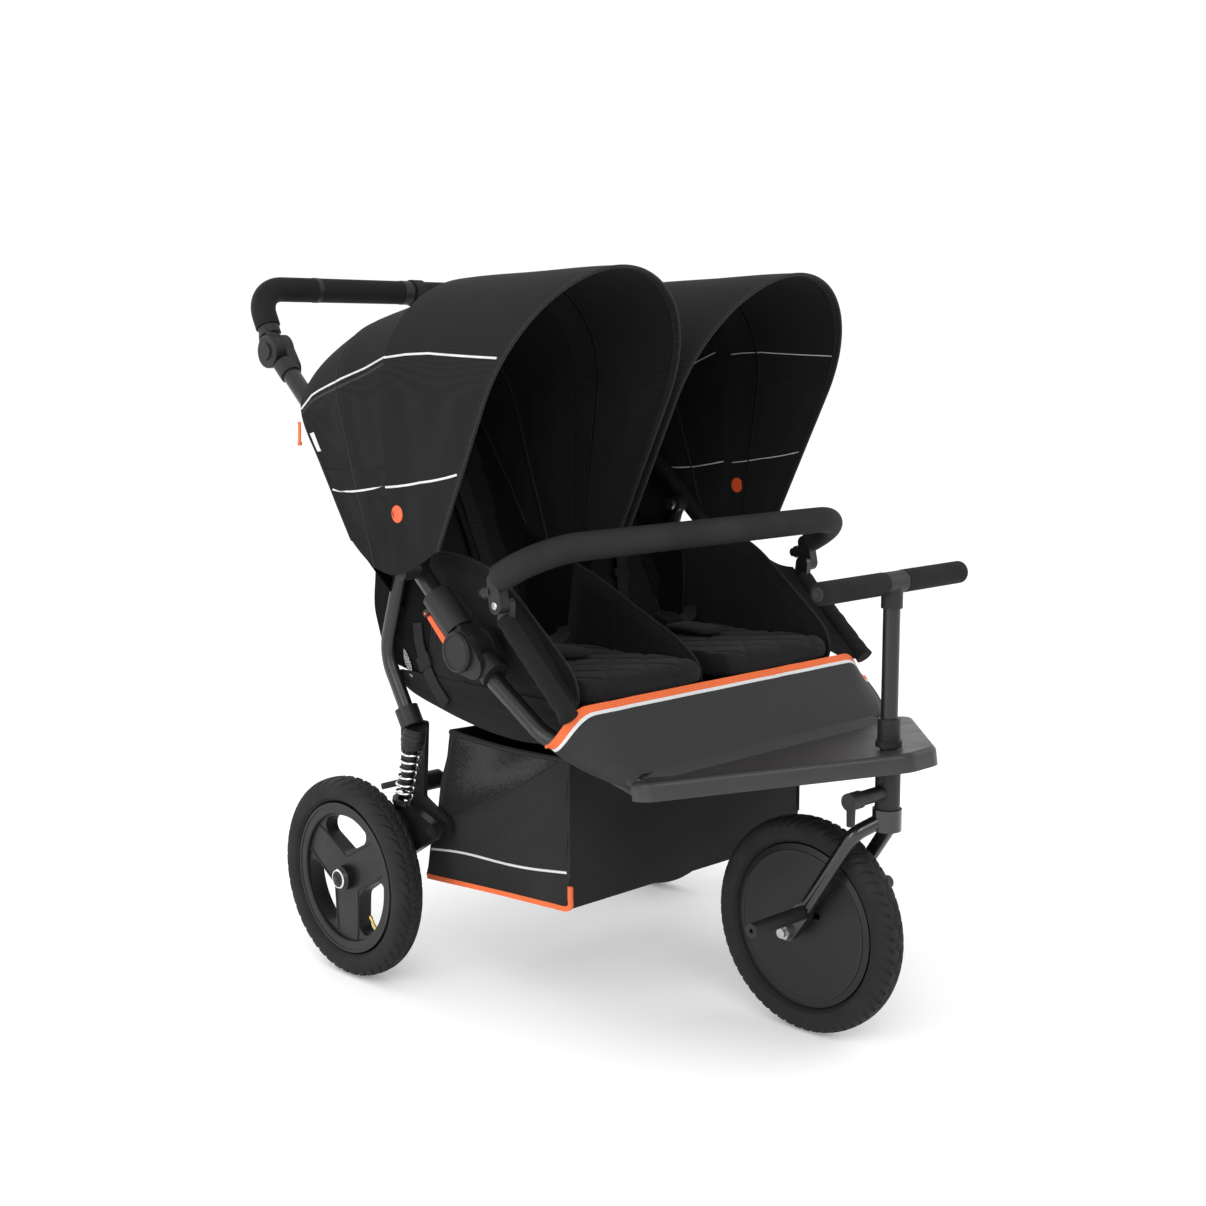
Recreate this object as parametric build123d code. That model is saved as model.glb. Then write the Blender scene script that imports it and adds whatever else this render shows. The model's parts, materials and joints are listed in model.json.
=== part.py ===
from build123d import *
import math
import os

# Three-wheeled pushchair for rough paths, with two seats side by side, two canopies, a T-shaped
# grab bar in front, a sprung rear wheel on each side and one castor wheel on a trailing fork.
# Millimetres. +X is the pusher's left, -Y is forward and +Z is up.
# Design values of y count from the rear axle. save() shifts every sub-part so that the origin is
# on the ground, on the centre plane and half way along the length.
# A place in side view is a pair (y, z). "left" sub-parts are drawn at +X and mirrored.

# ---- driving dimensions ------------------------------------------------------------------------
MID_LENGTH = -284.8        # half way along the object
WHEEL_RADIUS = 156.0       # 12.5 inch pneumatic wheel
TYRE_WIDTH = 46.0
RIM_RADIUS = 117.9         # where tyre and rim meet
WHEELBASE = 638.5
HALF_TRACK = 330.0
HEAD_Y = -770.0            # castor axis of the front fork

FOLD = (-283.0, 546.0)     # main frame hinge
TILT = (187.0, 962.0)      # tilt joint of the handle
HANDLE = (238.0, 1060.0)   # handlebar centre line
LEG_TOP = (-107.0, 702.0)  # where the rear leg hangs on the handle tube
ARM_PIVOT = (-150.0, 250.0)
SPRING_TOP = (-105.0, 373.0)
SPRING_FOOT = (-81.0, 287.0)
CANOPY_PIVOT = (-170.0, 650.0)
BUMPER_PIVOT = (-360.0, 619.0)

SIDE_X = 318.0             # centre of the side tubes
LEG_X = 290.0              # centre of rear legs, springs and suspension arms
TUBE_R = 14.0
FOAM_R = 19.5              # handlebar grip
PIN_R = 6.0
RUNNING_GAP = 0.05         # radial play of a pin in its bore
JOINT_GAP = 0.5            # side play between two moving faces

SEAT_INNER = 24.0          # a seat spans these two distances from the centre plane
SEAT_OUTER = 268.0
CANOPY_X = 186.5
VISOR_HALF = 178.0
HOOD_HALF = 173.0
CLOTH = 3.0                # wall of a canopy
BASKET_HALF = 254.0
BASKET_WALL = 5.0
TBAR_Z = 658.0
TBAR_HALF = 157.0

REAR_AXLE = (0.0, WHEEL_RADIUS)
FRONT_AXLE = (-WHEELBASE, WHEEL_RADIUS)

written = []


# ---- helpers -----------------------------------------------------------------------------------
def save(name, *solids):
    """Write one sub-part, shifted to the shared origin."""
    os.makedirs("parts", exist_ok=True)
    shape = solids[0] if len(solids) == 1 else Compound(list(solids))
    export_step(shape.moved(Location((0, -MID_LENGTH, 0))), f"parts/{name}.step")
    written.append(name)


def to_right(shape):
    """The mirror image of a left-hand shape."""
    return shape.mirror(Plane.YZ)


def save_sides(name, shape):
    """A left-hand sub-part and its mirrored right-hand twin, each in its own file."""
    save(f"{name}_left", shape)
    save(f"{name}_right", to_right(shape))


def save_pair(name, shape):
    """A left-hand piece and its mirrored twin together in one file."""
    save(name, shape, to_right(shape))


def solid_of(shape):
    """The single solid of a result that may come wrapped in a compound."""
    return shape.solids()[0]


def along(start, angle, distance, offset=0.0):
    """The side-view point a distance along a direction, and an offset to its left."""
    c, s = math.cos(angle), math.sin(angle)
    return (start[0] + distance * c - offset * s, start[1] + distance * s + offset * c)


def angle_of(start, end):
    """Direction from one side-view point to another."""
    return math.atan2(end[1] - start[1], end[0] - start[0])


def bar_between(x, start, end, radius):
    """A straight round bar in the plane at x, between two side-view points."""
    return rod([(x, *start), (x, *end)], radius)


def side_plane(x):
    """Plane at x whose local axes are +Y and +Z."""
    return Plane.YZ.offset(x)


def round_bar(place, radius, x_from, x_to):
    """A cylinder across the object, from x_from to x_to."""
    disc = side_plane(x_from) * Pos(*place) * Circle(radius)
    return solid_of(extrude(disc, amount=x_to - x_from))


def plate(outline, x_from, x_to, corner=0.0):
    """A flat plate with a polygonal outline in side view."""
    face = make_face(Polyline(*outline, close=True))
    if corner:
        face = fillet(face.vertices(), corner)
    return solid_of(extrude(side_plane(x_from) * face, amount=x_to - x_from))


def lug_plate(discs, x_from, x_to):
    """A plate whose outline is drawn tight around discs of (place, radius)."""
    rims = [(Pos(*place) * Circle(radius)).edge() for place, radius in discs]
    return solid_of(extrude(side_plane(x_from) * make_hull(rims), amount=x_to - x_from))


def rod(points, radius, bend=0.0):
    """A round bar along straight runs joined by bends."""
    path = FilletPolyline(*points, radius=bend) if bend else Polyline(*points)
    section = Plane(origin=path @ 0, z_dir=path % 0) * Circle(radius)
    return solid_of(sweep(section, path=path))


def oval_rod(points, half_across, half_along, bend):
    """An oval bar in a plane of constant x; half_across is measured along X."""
    path = FilletPolyline(*points, radius=bend)
    section = Plane(origin=path @ 0, x_dir=(1, 0, 0), z_dir=path % 0) * Ellipse(half_across, half_along)
    return solid_of(sweep(section, path=path))


def sleeve(points, outer, inner, bend):
    """A foam sleeve around a bent tube."""
    return solid_of(rod(points, outer, bend) - rod(points, inner, bend))


def turned(outline_face, place, x):
    """A body turned about a crosswise axle through place, drawn as (x, radius)."""
    body = revolve(Plane.XZ * outline_face, axis=Axis.X)
    return solid_of(body).moved(Location((x, place[0], place[1])))


def upright(place_y, radius, z_from, z_to):
    """A vertical cylinder on the centre plane."""
    return solid_of(Pos(0, place_y, (z_from + z_to) / 2) * Cylinder(radius, z_to - z_from))


def slab(y_z_line, thickness, x_from, x_to):
    """A padded slab that follows a line in side view; the thickness lies to the line's left."""
    (y0, z0), (y1, z1) = y_z_line
    angle = math.atan2(z1 - z0, y1 - y0)
    length = math.hypot(y1 - y0, z1 - z0)
    steps = ((0, 0), (length, 0), (length, thickness), (0, thickness))
    corners = [along((y0, z0), angle, distance, offset) for distance, offset in steps]
    return plate(corners, x_from, x_to, corner=min(abs(thickness), length) * 0.3)


HANDLE_SLOPE = angle_of(FOLD, TILT)

# ---- wheels ------------------------------------------------------------------------------------
TYRE_DEPTH = WHEEL_RADIUS - RIM_RADIUS - 0.1
TYRE_MID_R = WHEEL_RADIUS - TYRE_DEPTH / 2
HUB_HALF = 22.0
RIM_HALF = 17.0
STUB_END = 15.0            # the stub axle ends this far outside the wheel's mid plane


def tyre(place, x):
    section = Pos(0, TYRE_MID_R) * RectangleRounded(TYRE_WIDTH, TYRE_DEPTH, TYRE_DEPTH * 0.42)
    return turned(section, place, x)


def rim_ring(place, x, inner_radius):
    height = RIM_RADIUS - inner_radius
    section = Pos(0, inner_radius + height / 2) * RectangleRounded(2 * RIM_HALF, height, 3)
    return turned(section, place, x)


def spoke_window(angle):
    """The opening between two of the three spokes: a rounded wedge."""
    apex_r, outer_r, half_span = 38.0, 97.0, math.radians(43)
    apex = (apex_r * math.cos(angle), apex_r * math.sin(angle))
    first, middle, last = (
        (outer_r * math.cos(angle + turn), outer_r * math.sin(angle + turn))
        for turn in (-half_span, 0, half_span)
    )
    edges = [Line(apex, first), ThreePointArc(first, middle, last), Line(last, apex)]
    wedge = make_face(edges)
    return fillet(wedge.vertices(), 15)


def rear_rim():
    """Three-spoked moulded wheel, outer side towards +X, centred on the rear wheel's place."""
    web_half = 11.0
    web = Circle(105)
    for k in range(3):
        web -= spoke_window(math.radians(90 + 120 * k))
    body = extrude(side_plane(-web_half) * web, amount=2 * web_half)
    body += round_bar((0, 0), 19, -HUB_HALF, HUB_HALF)
    body += round_bar((0, 0), 15, HUB_HALF, HUB_HALF + 5)
    body += rim_ring((0, 0), 0, 100)
    body -= round_bar((0, 0), PIN_R + RUNNING_GAP, -HUB_HALF - 1, STUB_END + 2)
    return solid_of(body).moved(Location((HALF_TRACK, *REAR_AXLE)))


def front_rim():
    """Closed disc wheel with a small valve window near its hub."""
    side = [(-RIM_HALF - 1, 101), (-RIM_HALF - 1, 106), (-RIM_HALF + 2, RIM_RADIUS)]
    hub_side = [(-HUB_HALF, 5), (-HUB_HALF, 24)]
    left_half = hub_side + side
    outline = left_half + [(-x, r) for x, r in reversed(left_half)]
    body = turned(make_face(Polyline(*outline, close=True)), FRONT_AXLE, 0)
    window = SlotCenterToCenter(14, 9)
    cut_place = (FRONT_AXLE[0] - 25, FRONT_AXLE[1] + 22)
    cut = extrude(side_plane(-HUB_HALF - 2) * Pos(*cut_place) * window, amount=2 * HUB_HALF + 4)
    bore = round_bar(FRONT_AXLE, PIN_R + RUNNING_GAP, -HUB_HALF - 2, HUB_HALF + 2)
    return solid_of(body - cut - bore)


save_sides("rear_tyre", tyre(REAR_AXLE, HALF_TRACK))
save_sides("rear_rim", rear_rim())
save("front_tyre", tyre(FRONT_AXLE, 0))
save("front_rim", front_rim())

# ---- front fork --------------------------------------------------------------------------------
BLADE_IN, BLADE_OUT = 36.0, 50.0
BLADE_R = 10.5
CROWN_LOW, CROWN_HIGH = 320.0, 350.0
LUG = (-663.0, 188.0)
PEG_R, PEG_END = 10.0, 154.0


def fork():
    """Crown and two round blades that bow out and trail back to the lugs of the axle and the pegs."""
    crown = upright(HEAD_Y, 20, CROWN_LOW, CROWN_HIGH)
    shoulder, knee = (HEAD_Y + 4, CROWN_LOW + 14), (HEAD_Y + 22, CROWN_LOW - 2)
    blade_x = (BLADE_IN + BLADE_OUT) / 2
    blade = rod([(8, *shoulder), (blade_x, *knee), (blade_x, *LUG)], BLADE_R, bend=22)
    blade += lug_plate([(LUG, 13), (FRONT_AXLE, 14)], BLADE_IN, BLADE_OUT)
    blade -= round_bar(FRONT_AXLE, PIN_R, BLADE_IN - 1, BLADE_OUT + 1)
    blade -= round_bar(LUG, PEG_R + 7, BLADE_OUT, BLADE_OUT + BLADE_R)   # flat seat for the peg
    return solid_of(crown + blade + to_right(solid_of(blade)))


def front_axle():
    """Bolt through wheel and blades with a domed nut on each end."""
    shaft = round_bar(FRONT_AXLE, PIN_R, -BLADE_OUT, BLADE_OUT)
    nut = solid_of(extrude(side_plane(BLADE_OUT) * Pos(*FRONT_AXLE) * RegularPolygon(11, 6), amount=7))
    dome = round_bar(FRONT_AXLE, 7, BLADE_OUT + 7, BLADE_OUT + 13)
    return solid_of(shaft + nut + dome + to_right(nut) + to_right(dome))


def fork_peg():
    """Round peg with a hexagon socket in its end."""
    peg = round_bar(LUG, PEG_R, BLADE_OUT, PEG_END)
    socket_depth = 8
    socket = side_plane(PEG_END - socket_depth) * Pos(*LUG) * RegularPolygon(3.5, 6)
    return solid_of(peg - extrude(socket, amount=socket_depth + 1))


save("front_fork", fork())
left_peg = fork_peg()
save("front_axle_and_pegs", front_axle(), left_peg, to_right(left_peg))

# ---- head tube and swivel lock -----------------------------------------------------------------
TRAY_CORNER = (-578.0, 377.0)   # underside of the tray at its rear corners
TRAY_RISE = math.radians(8.6)
TRAY_THICK = 26.0
POST_R = 11.5              # stem of the T-shaped bar
LOCK_Z = 374.0
LOCK_R = 10.0
HEAD_R = 17.0


def tray_underside(y):
    return TRAY_CORNER[1] + (TRAY_CORNER[0] - y) * math.tan(TRAY_RISE)


def head_tube():
    """Castor housing under the tray, with the boss of the swivel lock on its right."""
    top = tray_underside(HEAD_Y + HEAD_R) - 1.5
    tube = upright(HEAD_Y, HEAD_R, CROWN_HIGH + JOINT_GAP, top)
    boss = round_bar((HEAD_Y, LOCK_Z), LOCK_R, -62, 0)
    return solid_of(tube + boss)


def lock_knob():
    """Turning knob with a thumb tab that hangs down."""
    knob = round_bar((HEAD_Y, LOCK_Z), LOCK_R + 2, -86, -62 - JOINT_GAP)
    low = LOCK_Z - 34
    outline = [(HEAD_Y - 5, LOCK_Z), (HEAD_Y + 5, LOCK_Z), (HEAD_Y + 4, low), (HEAD_Y - 4, low)]
    tab = plate(outline, -84, -76, corner=2)
    return solid_of(knob + tab)


save("head_tube", head_tube())
save("swivel_lock_knob", lock_knob())


# ---- tray and foot strip -----------------------------------------------------------------------
def on_tray(shape):
    """Lay a shape drawn flat, forward = -Y, on the tray's rising plane."""
    tilt = Plane(
        origin=(0, TRAY_CORNER[0], TRAY_CORNER[1]),
        x_dir=(1, 0, 0),
        z_dir=(0, math.sin(TRAY_RISE), math.cos(TRAY_RISE)),
    )
    return tilt.location * shape


def front_tray():
    """Moulded front bumper tray: a flat arrowhead whose two arms end in tube sockets."""
    half = [(0, -18), (235, -18), (252, 8), (288, 8), (297, -22), (30, -255), (0, -255)]
    outline = half + [(-x, y) for x, y in reversed(half[1:-1])]
    face = make_face(Polyline(*outline, close=True))
    nose = face.vertices().filter_by(lambda v: v.Y < -250 and abs(v.X) > 1)
    face = fillet(nose, 32)
    arms = face.vertices().filter_by(lambda v: v.Y == -22)
    face = fillet(arms, 34)
    body = extrude(face, amount=TRAY_THICK)
    upper_rim = body.faces().sort_by(Axis.Z)[-1].edges()
    body = fillet(upper_rim, 7)
    return solid_of(on_tray(solid_of(body)) - upright(HEAD_Y, POST_R + 0.3, 300, 500))


def foot_strip():
    """Rubber-faced strip where the feet rest, just behind the tray."""
    return slab([(-589.5, 399), (-564, 407)], 4, -230, 230)


save("front_tray", front_tray())
save("foot_strip", foot_strip())

# ---- T-shaped grab bar -------------------------------------------------------------------------
TRAY_TOP_Z = tray_underside(HEAD_Y) + TRAY_THICK / math.cos(TRAY_RISE)
CROSS_R = 9.0
GRIP_R = 15.5


def tbar_post():
    return upright(HEAD_Y, POST_R, tray_underside(HEAD_Y) + 4, TBAR_Z - 13)


def tbar_collar():
    """Clamp collar at the foot of the post, stepped, with a screw boss."""
    lower = upright(HEAD_Y, 18, TRAY_TOP_Z + 3.5, TRAY_TOP_Z + 12)
    upper = upright(HEAD_Y, 15.5, TRAY_TOP_Z + 12, TRAY_TOP_Z + 42)
    screw = round_bar((HEAD_Y, TRAY_TOP_Z + 32), 4, 10, 19)
    return solid_of(lower + upper + screw - upright(HEAD_Y, POST_R, 0, TBAR_Z))


def tbar_sleeve():
    """Tee at the top of the post: one stub down, one sleeve across."""
    across = round_bar((HEAD_Y, TBAR_Z), 15, -21, 21)
    down = upright(HEAD_Y, 14.5, TBAR_Z - 34, TBAR_Z)
    body = across + down - round_bar((HEAD_Y, TBAR_Z), CROSS_R, -30, 30)
    return solid_of(body - upright(HEAD_Y, POST_R, 0, TBAR_Z - 13))


def tbar_grip():
    """Foam grip with a closed, rounded end."""
    grip = round_bar((HEAD_Y, TBAR_Z), GRIP_R, 22, TBAR_HALF)
    outer_rim = grip.edges().sort_by(Axis.X)[-1]
    grip = fillet(outer_rim, 5)
    return solid_of(grip - round_bar((HEAD_Y, TBAR_Z), CROSS_R, 0, TBAR_HALF - 9))


crossbar = round_bar((HEAD_Y, TBAR_Z), CROSS_R, -TBAR_HALF + 10, TBAR_HALF - 10)
save("tbar_tubes", tbar_post(), crossbar)
save("tbar_fittings", tbar_collar(), tbar_sleeve())
save_pair("tbar_grips", tbar_grip())

# ---- front frame and main hinge ----------------------------------------------------------------
CHEEK_R = 31.0
KNUCKLE_R = 24.0
KNUCKLE_HALF = 14.0
CHEEK_OUT = 25.0           # outer face of a cheek, from the side tube's centre
FRONT_TUBE_TOP = (-318.0, 516.0)
FRONT_TUBE_KNEE = (-428.0, 448.0)
SEAT_TUBE_TOP = (-358.0, 598.0)
SEAT_TUBE_FOOT = (-478.0, 488.0)
SEAT_TUBE_X = 322.0
SEAT_BAR = (-452.0, 462.0)  # cross tube under the seats' front edge


def front_tube():
    """Side tube from the main hinge down to the tray's socket, turned inwards at its foot."""
    foot = (270, TRAY_CORNER[0] + 19, TRAY_CORNER[1] + TRAY_THICK / 2)
    return rod([(SIDE_X, *FRONT_TUBE_TOP), (SIDE_X, *FRONT_TUBE_KNEE), foot], TUBE_R - 1, bend=70)


def hinge_housing():
    """Lower half of the main hinge: two cheeks around the knuckle, and the tube's socket."""
    slope = angle_of(FRONT_TUBE_TOP, FRONT_TUBE_KNEE)
    cheek = [(FOLD, CHEEK_R), (along(FOLD, slope, 34), 18)]
    cheeks = lug_plate(cheek, SIDE_X + KNUCKLE_HALF + JOINT_GAP, SIDE_X + CHEEK_OUT)
    cheeks += lug_plate(cheek, SIDE_X - CHEEK_OUT, SIDE_X - KNUCKLE_HALF - JOINT_GAP)
    start, end = along(FOLD, slope, 29), along(FOLD, slope, 58)
    block = rod([(SIDE_X, *start), (SIDE_X, *end)], 21)
    body = cheeks + block
    body -= round_bar(FOLD, PIN_R, SIDE_X - 40, SIDE_X + 40)
    seat = rod([(SIDE_X, *FRONT_TUBE_TOP), (SIDE_X, *FRONT_TUBE_KNEE)], TUBE_R - 1)
    return solid_of(body - seat)


def hinge_pin():
    """Pin of the main hinge with its large round head over the outer cheek."""
    head = round_bar(FOLD, CHEEK_R - 2, SIDE_X + CHEEK_OUT, SIDE_X + CHEEK_OUT + 7)
    head = fillet(head.edges().sort_by(Axis.X)[-1], 2)
    return solid_of(head + round_bar(FOLD, PIN_R, SIDE_X - CHEEK_OUT, SIDE_X + CHEEK_OUT))


def seat_side_tube():
    """Cloth-covered tube beside the seat, from the bumper mount down to the seat's front edge."""
    return rod([(SEAT_TUBE_X, *SEAT_TUBE_TOP), (SEAT_TUBE_X, *SEAT_TUBE_FOOT)], 12)


left_tube = front_tube()
save("front_tubes", left_tube, to_right(left_tube), round_bar(SEAT_BAR, 9, -303, 303))
save_pair("hinge_housings", hinge_housing())
save_pair("hinge_pins", hinge_pin())
save_pair("seat_side_tubes", seat_side_tube())

# ---- bumper bar --------------------------------------------------------------------------------
BUMPER_X = 334.0
BUMPER_FRONT = (-440.0, 700.0)
BUMPER_FOAM_R = 20.0
BUMPER_SHOULDER = (-354.0, 652.0)
BUMPER_LUG_R = 12.0
BUMPER_PIN_R = 4.0
BUTTON_WELL_R = 7.5
BUMPER_END_SLOPE = math.radians(150.8)   # direction in which the bar leaves its end fitting


def bumper_bracket():
    """Lug on top of the seat side tube that carries the bumper bar."""
    x_from, x_to = SEAT_TUBE_X - 7, SEAT_TUBE_X + 3
    lug = lug_plate([(BUMPER_PIVOT, BUMPER_LUG_R), (SEAT_TUBE_TOP, 12.5)], x_from, x_to)
    lug -= rod([(SEAT_TUBE_X, *SEAT_TUBE_TOP), (SEAT_TUBE_X, *SEAT_TUBE_FOOT)], 12)
    pin = round_bar(BUMPER_PIVOT, BUMPER_PIN_R, x_to, BUMPER_X + 8)
    return solid_of(lug + pin)


def bumper_path(start):
    """Centre line of the bumper bar from its right to its left end."""
    half = [(BUMPER_X, *start), (BUMPER_X, *BUMPER_FRONT)]
    return [(-x, y, z) for x, y, z in half] + half[::-1]


def button_bar(start, end, radius):
    """A bar along the button's own axis, across the neck of the bumper bar's end fitting."""
    direction = angle_of(BUMPER_PIVOT, BUMPER_SHOULDER)
    places = [along(BUMPER_PIVOT, direction, 20, -distance) for distance in (start, end)]
    return bar_between(BUMPER_X, *places, radius)


def bumper_end():
    """End fitting of the bumper bar: a lug on the pivot, a neck and the button's housing."""
    lug = lug_plate([(BUMPER_PIVOT, BUMPER_LUG_R), (BUMPER_SHOULDER, 11)], SEAT_TUBE_X + 3.5, BUMPER_X + 8)
    lug -= round_bar(BUMPER_PIVOT, BUMPER_PIN_R + RUNNING_GAP, SEAT_TUBE_X, BUMPER_X + 9)
    shell = button_bar(8, 24, BUTTON_WELL_R + 2.5)
    return solid_of(lug + shell - button_bar(9, 30, BUTTON_WELL_R))


def bumper_button():
    """Ribbed push button that frees the bumper bar."""
    radius, groove_depth, groove_width = BUTTON_WELL_R - 0.5, 0.8, 1.2
    button = button_bar(14, 32, radius)
    for start in (26, 29):
        groove = button_bar(start, start + groove_width, radius + 1)
        button -= groove - button_bar(start, start + groove_width, radius - groove_depth)
    return solid_of(button)


save_pair("bumper_brackets", bumper_bracket())
save_pair("bumper_ends", bumper_end())
save_sides("bumper_button", bumper_button())
foam_start = along(BUMPER_SHOULDER, BUMPER_END_SLOPE, 12)
save("bumper_foam", rod(bumper_path(foam_start), BUMPER_FOAM_R, bend=78))

# ---- handle frame (folds about the main hinge) -------------------------------------------------
BLOCK_FROM, BLOCK_TO = 35.5, 104.0
BLOCK_R = 22.0
LATCH_DROP = -(BLOCK_R + 5.5)   # the latch's hinge lies this far under the tube's centre line
TILT_R = 26.0
TILT_IN, TILT_OUT = 17.0, 18.0   # how far the two halves of a tilt joint reach either way


def handle_tube():
    """Side tube from the latch block up to the tilt joint."""
    start = along(FOLD, HANDLE_SLOPE, BLOCK_TO - 40)
    end = along(TILT, HANDLE_SLOPE, -TILT_R - 4)
    tube = rod([(SIDE_X, *start), (SIDE_X, *end)], TUBE_R)
    return solid_of(tube - round_bar(LEG_TOP, 5, SIDE_X - 30, SIDE_X + 8))


def latch_block():
    """Upper half of the main hinge: knuckle, block around the tube, and the latch's ears."""
    knuckle = lug_plate(
        [(FOLD, KNUCKLE_R), (along(FOLD, HANDLE_SLOPE, BLOCK_FROM), 16)],
        SIDE_X - KNUCKLE_HALF, SIDE_X + KNUCKLE_HALF,
    )
    start, end = along(FOLD, HANDLE_SLOPE, BLOCK_FROM), along(FOLD, HANDLE_SLOPE, BLOCK_TO)
    block = rod([(SIDE_X, *start), (SIDE_X, *end)], BLOCK_R)
    body = knuckle + block
    body -= round_bar(FOLD, PIN_R + RUNNING_GAP, SIDE_X - 40, SIDE_X + 40)
    tube_start, tube_beyond = (along(FOLD, HANDLE_SLOPE, distance) for distance in (BLOCK_TO - 40, 200))
    body -= bar_between(SIDE_X, tube_start, tube_beyond, TUBE_R)
    ear_place = along(FOLD, HANDLE_SLOPE, BLOCK_TO - 8, LATCH_DROP)
    ear_root = along(FOLD, HANDLE_SLOPE, BLOCK_TO - 10, -17)
    for x_from in (SIDE_X - 13, SIDE_X + 8.5):
        body += lug_plate([(ear_place, 5), (ear_root, 3)], x_from, x_from + 4.5)
    body -= round_bar(ear_place, 2, SIDE_X - 20, SIDE_X + 20)
    return solid_of(body)


def fold_latch():
    """Finger lever of the fold lock, hinged at its upper end, lying under the block."""
    place = along(FOLD, HANDLE_SLOPE, BLOCK_TO - 8, LATCH_DROP)
    barrel = round_bar(place, 4.4, SIDE_X - 8, SIDE_X + 8)
    near = along(FOLD, HANDLE_SLOPE, BLOCK_TO - 14, LATCH_DROP - 2)
    far = along(FOLD, HANDLE_SLOPE, BLOCK_TO - 58, LATCH_DROP - 2.5)
    blade = lug_plate([(near, 4.4), (far, 5.2)], SIDE_X - 8, SIDE_X + 8)
    pin = round_bar(place, 2 - RUNNING_GAP, SIDE_X - 13, SIDE_X + 13)
    return solid_of(barrel + blade + pin)


def tilt_socket():
    """Inner half of the tilt joint, on the handle tube's end."""
    disc = round_bar(TILT, TILT_R, SIDE_X - TILT_IN, SIDE_X - JOINT_GAP)
    def below(distance):
        return along(TILT, HANDLE_SLOPE, -TILT_R - distance)

    neck = bar_between(SIDE_X, below(28), below(3), TUBE_R + 3)
    web = lug_plate([(TILT, TILT_R - 2), (below(12), 15)], SIDE_X - TILT_IN, SIDE_X - JOINT_GAP)
    body = disc + neck + web
    body -= bar_between(SIDE_X, below(60), below(4), TUBE_R)
    return solid_of(body - round_bar(TILT, PIN_R + RUNNING_GAP, SIDE_X - 40, SIDE_X))


def leg_bolt():
    """Bolt that carries the rear leg on the handle tube."""
    shaft = round_bar(LEG_TOP, 5, LEG_X - 16, SIDE_X + 8)
    head = round_bar(LEG_TOP, 9, LEG_X - 21, LEG_X - 16)
    return solid_of(shaft + head)


save_pair("handle_tubes", handle_tube())
save_pair("latch_blocks", latch_block())
save_sides("fold_latch", fold_latch())
save_pair("tilt_sockets", tilt_socket())
save_pair("leg_bolts", leg_bolt())

# ---- handle (tilts on the handle frame) --------------------------------------------------------
HANDLE_LEG = angle_of(TILT, HANDLE)
BUTTON_R = 13.0


def handle_path(from_distance):
    """Centre line of the handle from the right tilt joint, across the bar, to the left one."""
    start = along(TILT, HANDLE_LEG, from_distance)
    half = [(SIDE_X, *start), (SIDE_X, *HANDLE)]
    return [(-x, y, z) for x, y, z in half] + half[::-1]


def tilt_disc():
    """Outer half of the tilt joint, with the pin, the button's pocket and the neck of the handle."""
    disc = round_bar(TILT, TILT_R, SIDE_X, SIDE_X + TILT_OUT)
    disc = fillet(disc.edges().sort_by(Axis.X)[-1], 3)
    def above(distance):
        return along(TILT, HANDLE_LEG, TILT_R + distance)

    neck = bar_between(SIDE_X, above(3), above(16), TUBE_R + 3)
    web = lug_plate([(TILT, TILT_R - 2), (above(2), 13)], SIDE_X, SIDE_X + TILT_OUT - 4)
    body = disc + neck + web
    body -= bar_between(SIDE_X, above(6), above(40), TUBE_R)
    body -= round_bar(TILT, BUTTON_R + 0.3, SIDE_X + 7, SIDE_X + TILT_OUT + 2)
    return solid_of(body + round_bar(TILT, PIN_R, SIDE_X - TILT_IN, SIDE_X + 2))


def tilt_button():
    """Round push button in the tilt joint's outer face."""
    button = round_bar(TILT, BUTTON_R, SIDE_X + 12, SIDE_X + TILT_OUT + 3)
    return solid_of(fillet(button.edges().sort_by(Axis.X)[-1], 1.5))


def wrist_strap():
    """Webbing loop around the middle of the handlebar with a hanging tail."""
    half_width, thick = 11.0, 2.5
    outer = FOAM_R + 0.4 + thick
    loop = round_bar(HANDLE, outer, -half_width, half_width)
    loop -= round_bar(HANDLE, FOAM_R + 0.4, -half_width, half_width)
    tail_top = HANDLE[1] - FOAM_R - 1.5
    tail = Pos(0, HANDLE[0], tail_top - 27) * Box(2 * half_width, 2 * thick, 54)
    return solid_of(loop + tail)


save("handlebar_tube", rod(handle_path(TILT_R + 6.5), TUBE_R - 0.2, bend=48))
save("handle_foam", sleeve(handle_path(TILT_R + 17), FOAM_R, TUBE_R, bend=48))
save_pair("tilt_discs", tilt_disc())
save_sides("tilt_button", tilt_button())
save("wrist_strap", wrist_strap())

# ---- rear legs, springs and suspension arms ----------------------------------------------------
LEG_BEND = (-44.0, 508.0)
LEG_FOOT = (-103.0, 411.0)
BRACKET_X = 262.0
CROSS = (-62.0, 300.0)
ARM_HALF = 7.0
SPRING_R = 16.5
SPRING_SLOPE = angle_of(SPRING_TOP, SPRING_FOOT)


def leg_tube():
    """Oval tube of a rear leg, bent at its middle."""
    return oval_rod([(LEG_X, *LEG_TOP), (LEG_X, *LEG_BEND), (LEG_X, *LEG_FOOT)], 10, 13, bend=70)


def rear_leg():
    """Leg tube with the eye that hangs on the handle tube."""
    cap = round_bar(LEG_TOP, 14, LEG_X - 10, LEG_X + 10)
    return solid_of(leg_tube() + cap - round_bar(LEG_TOP, 5 + RUNNING_GAP, LEG_X - 20, LEG_X + 20))


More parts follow.
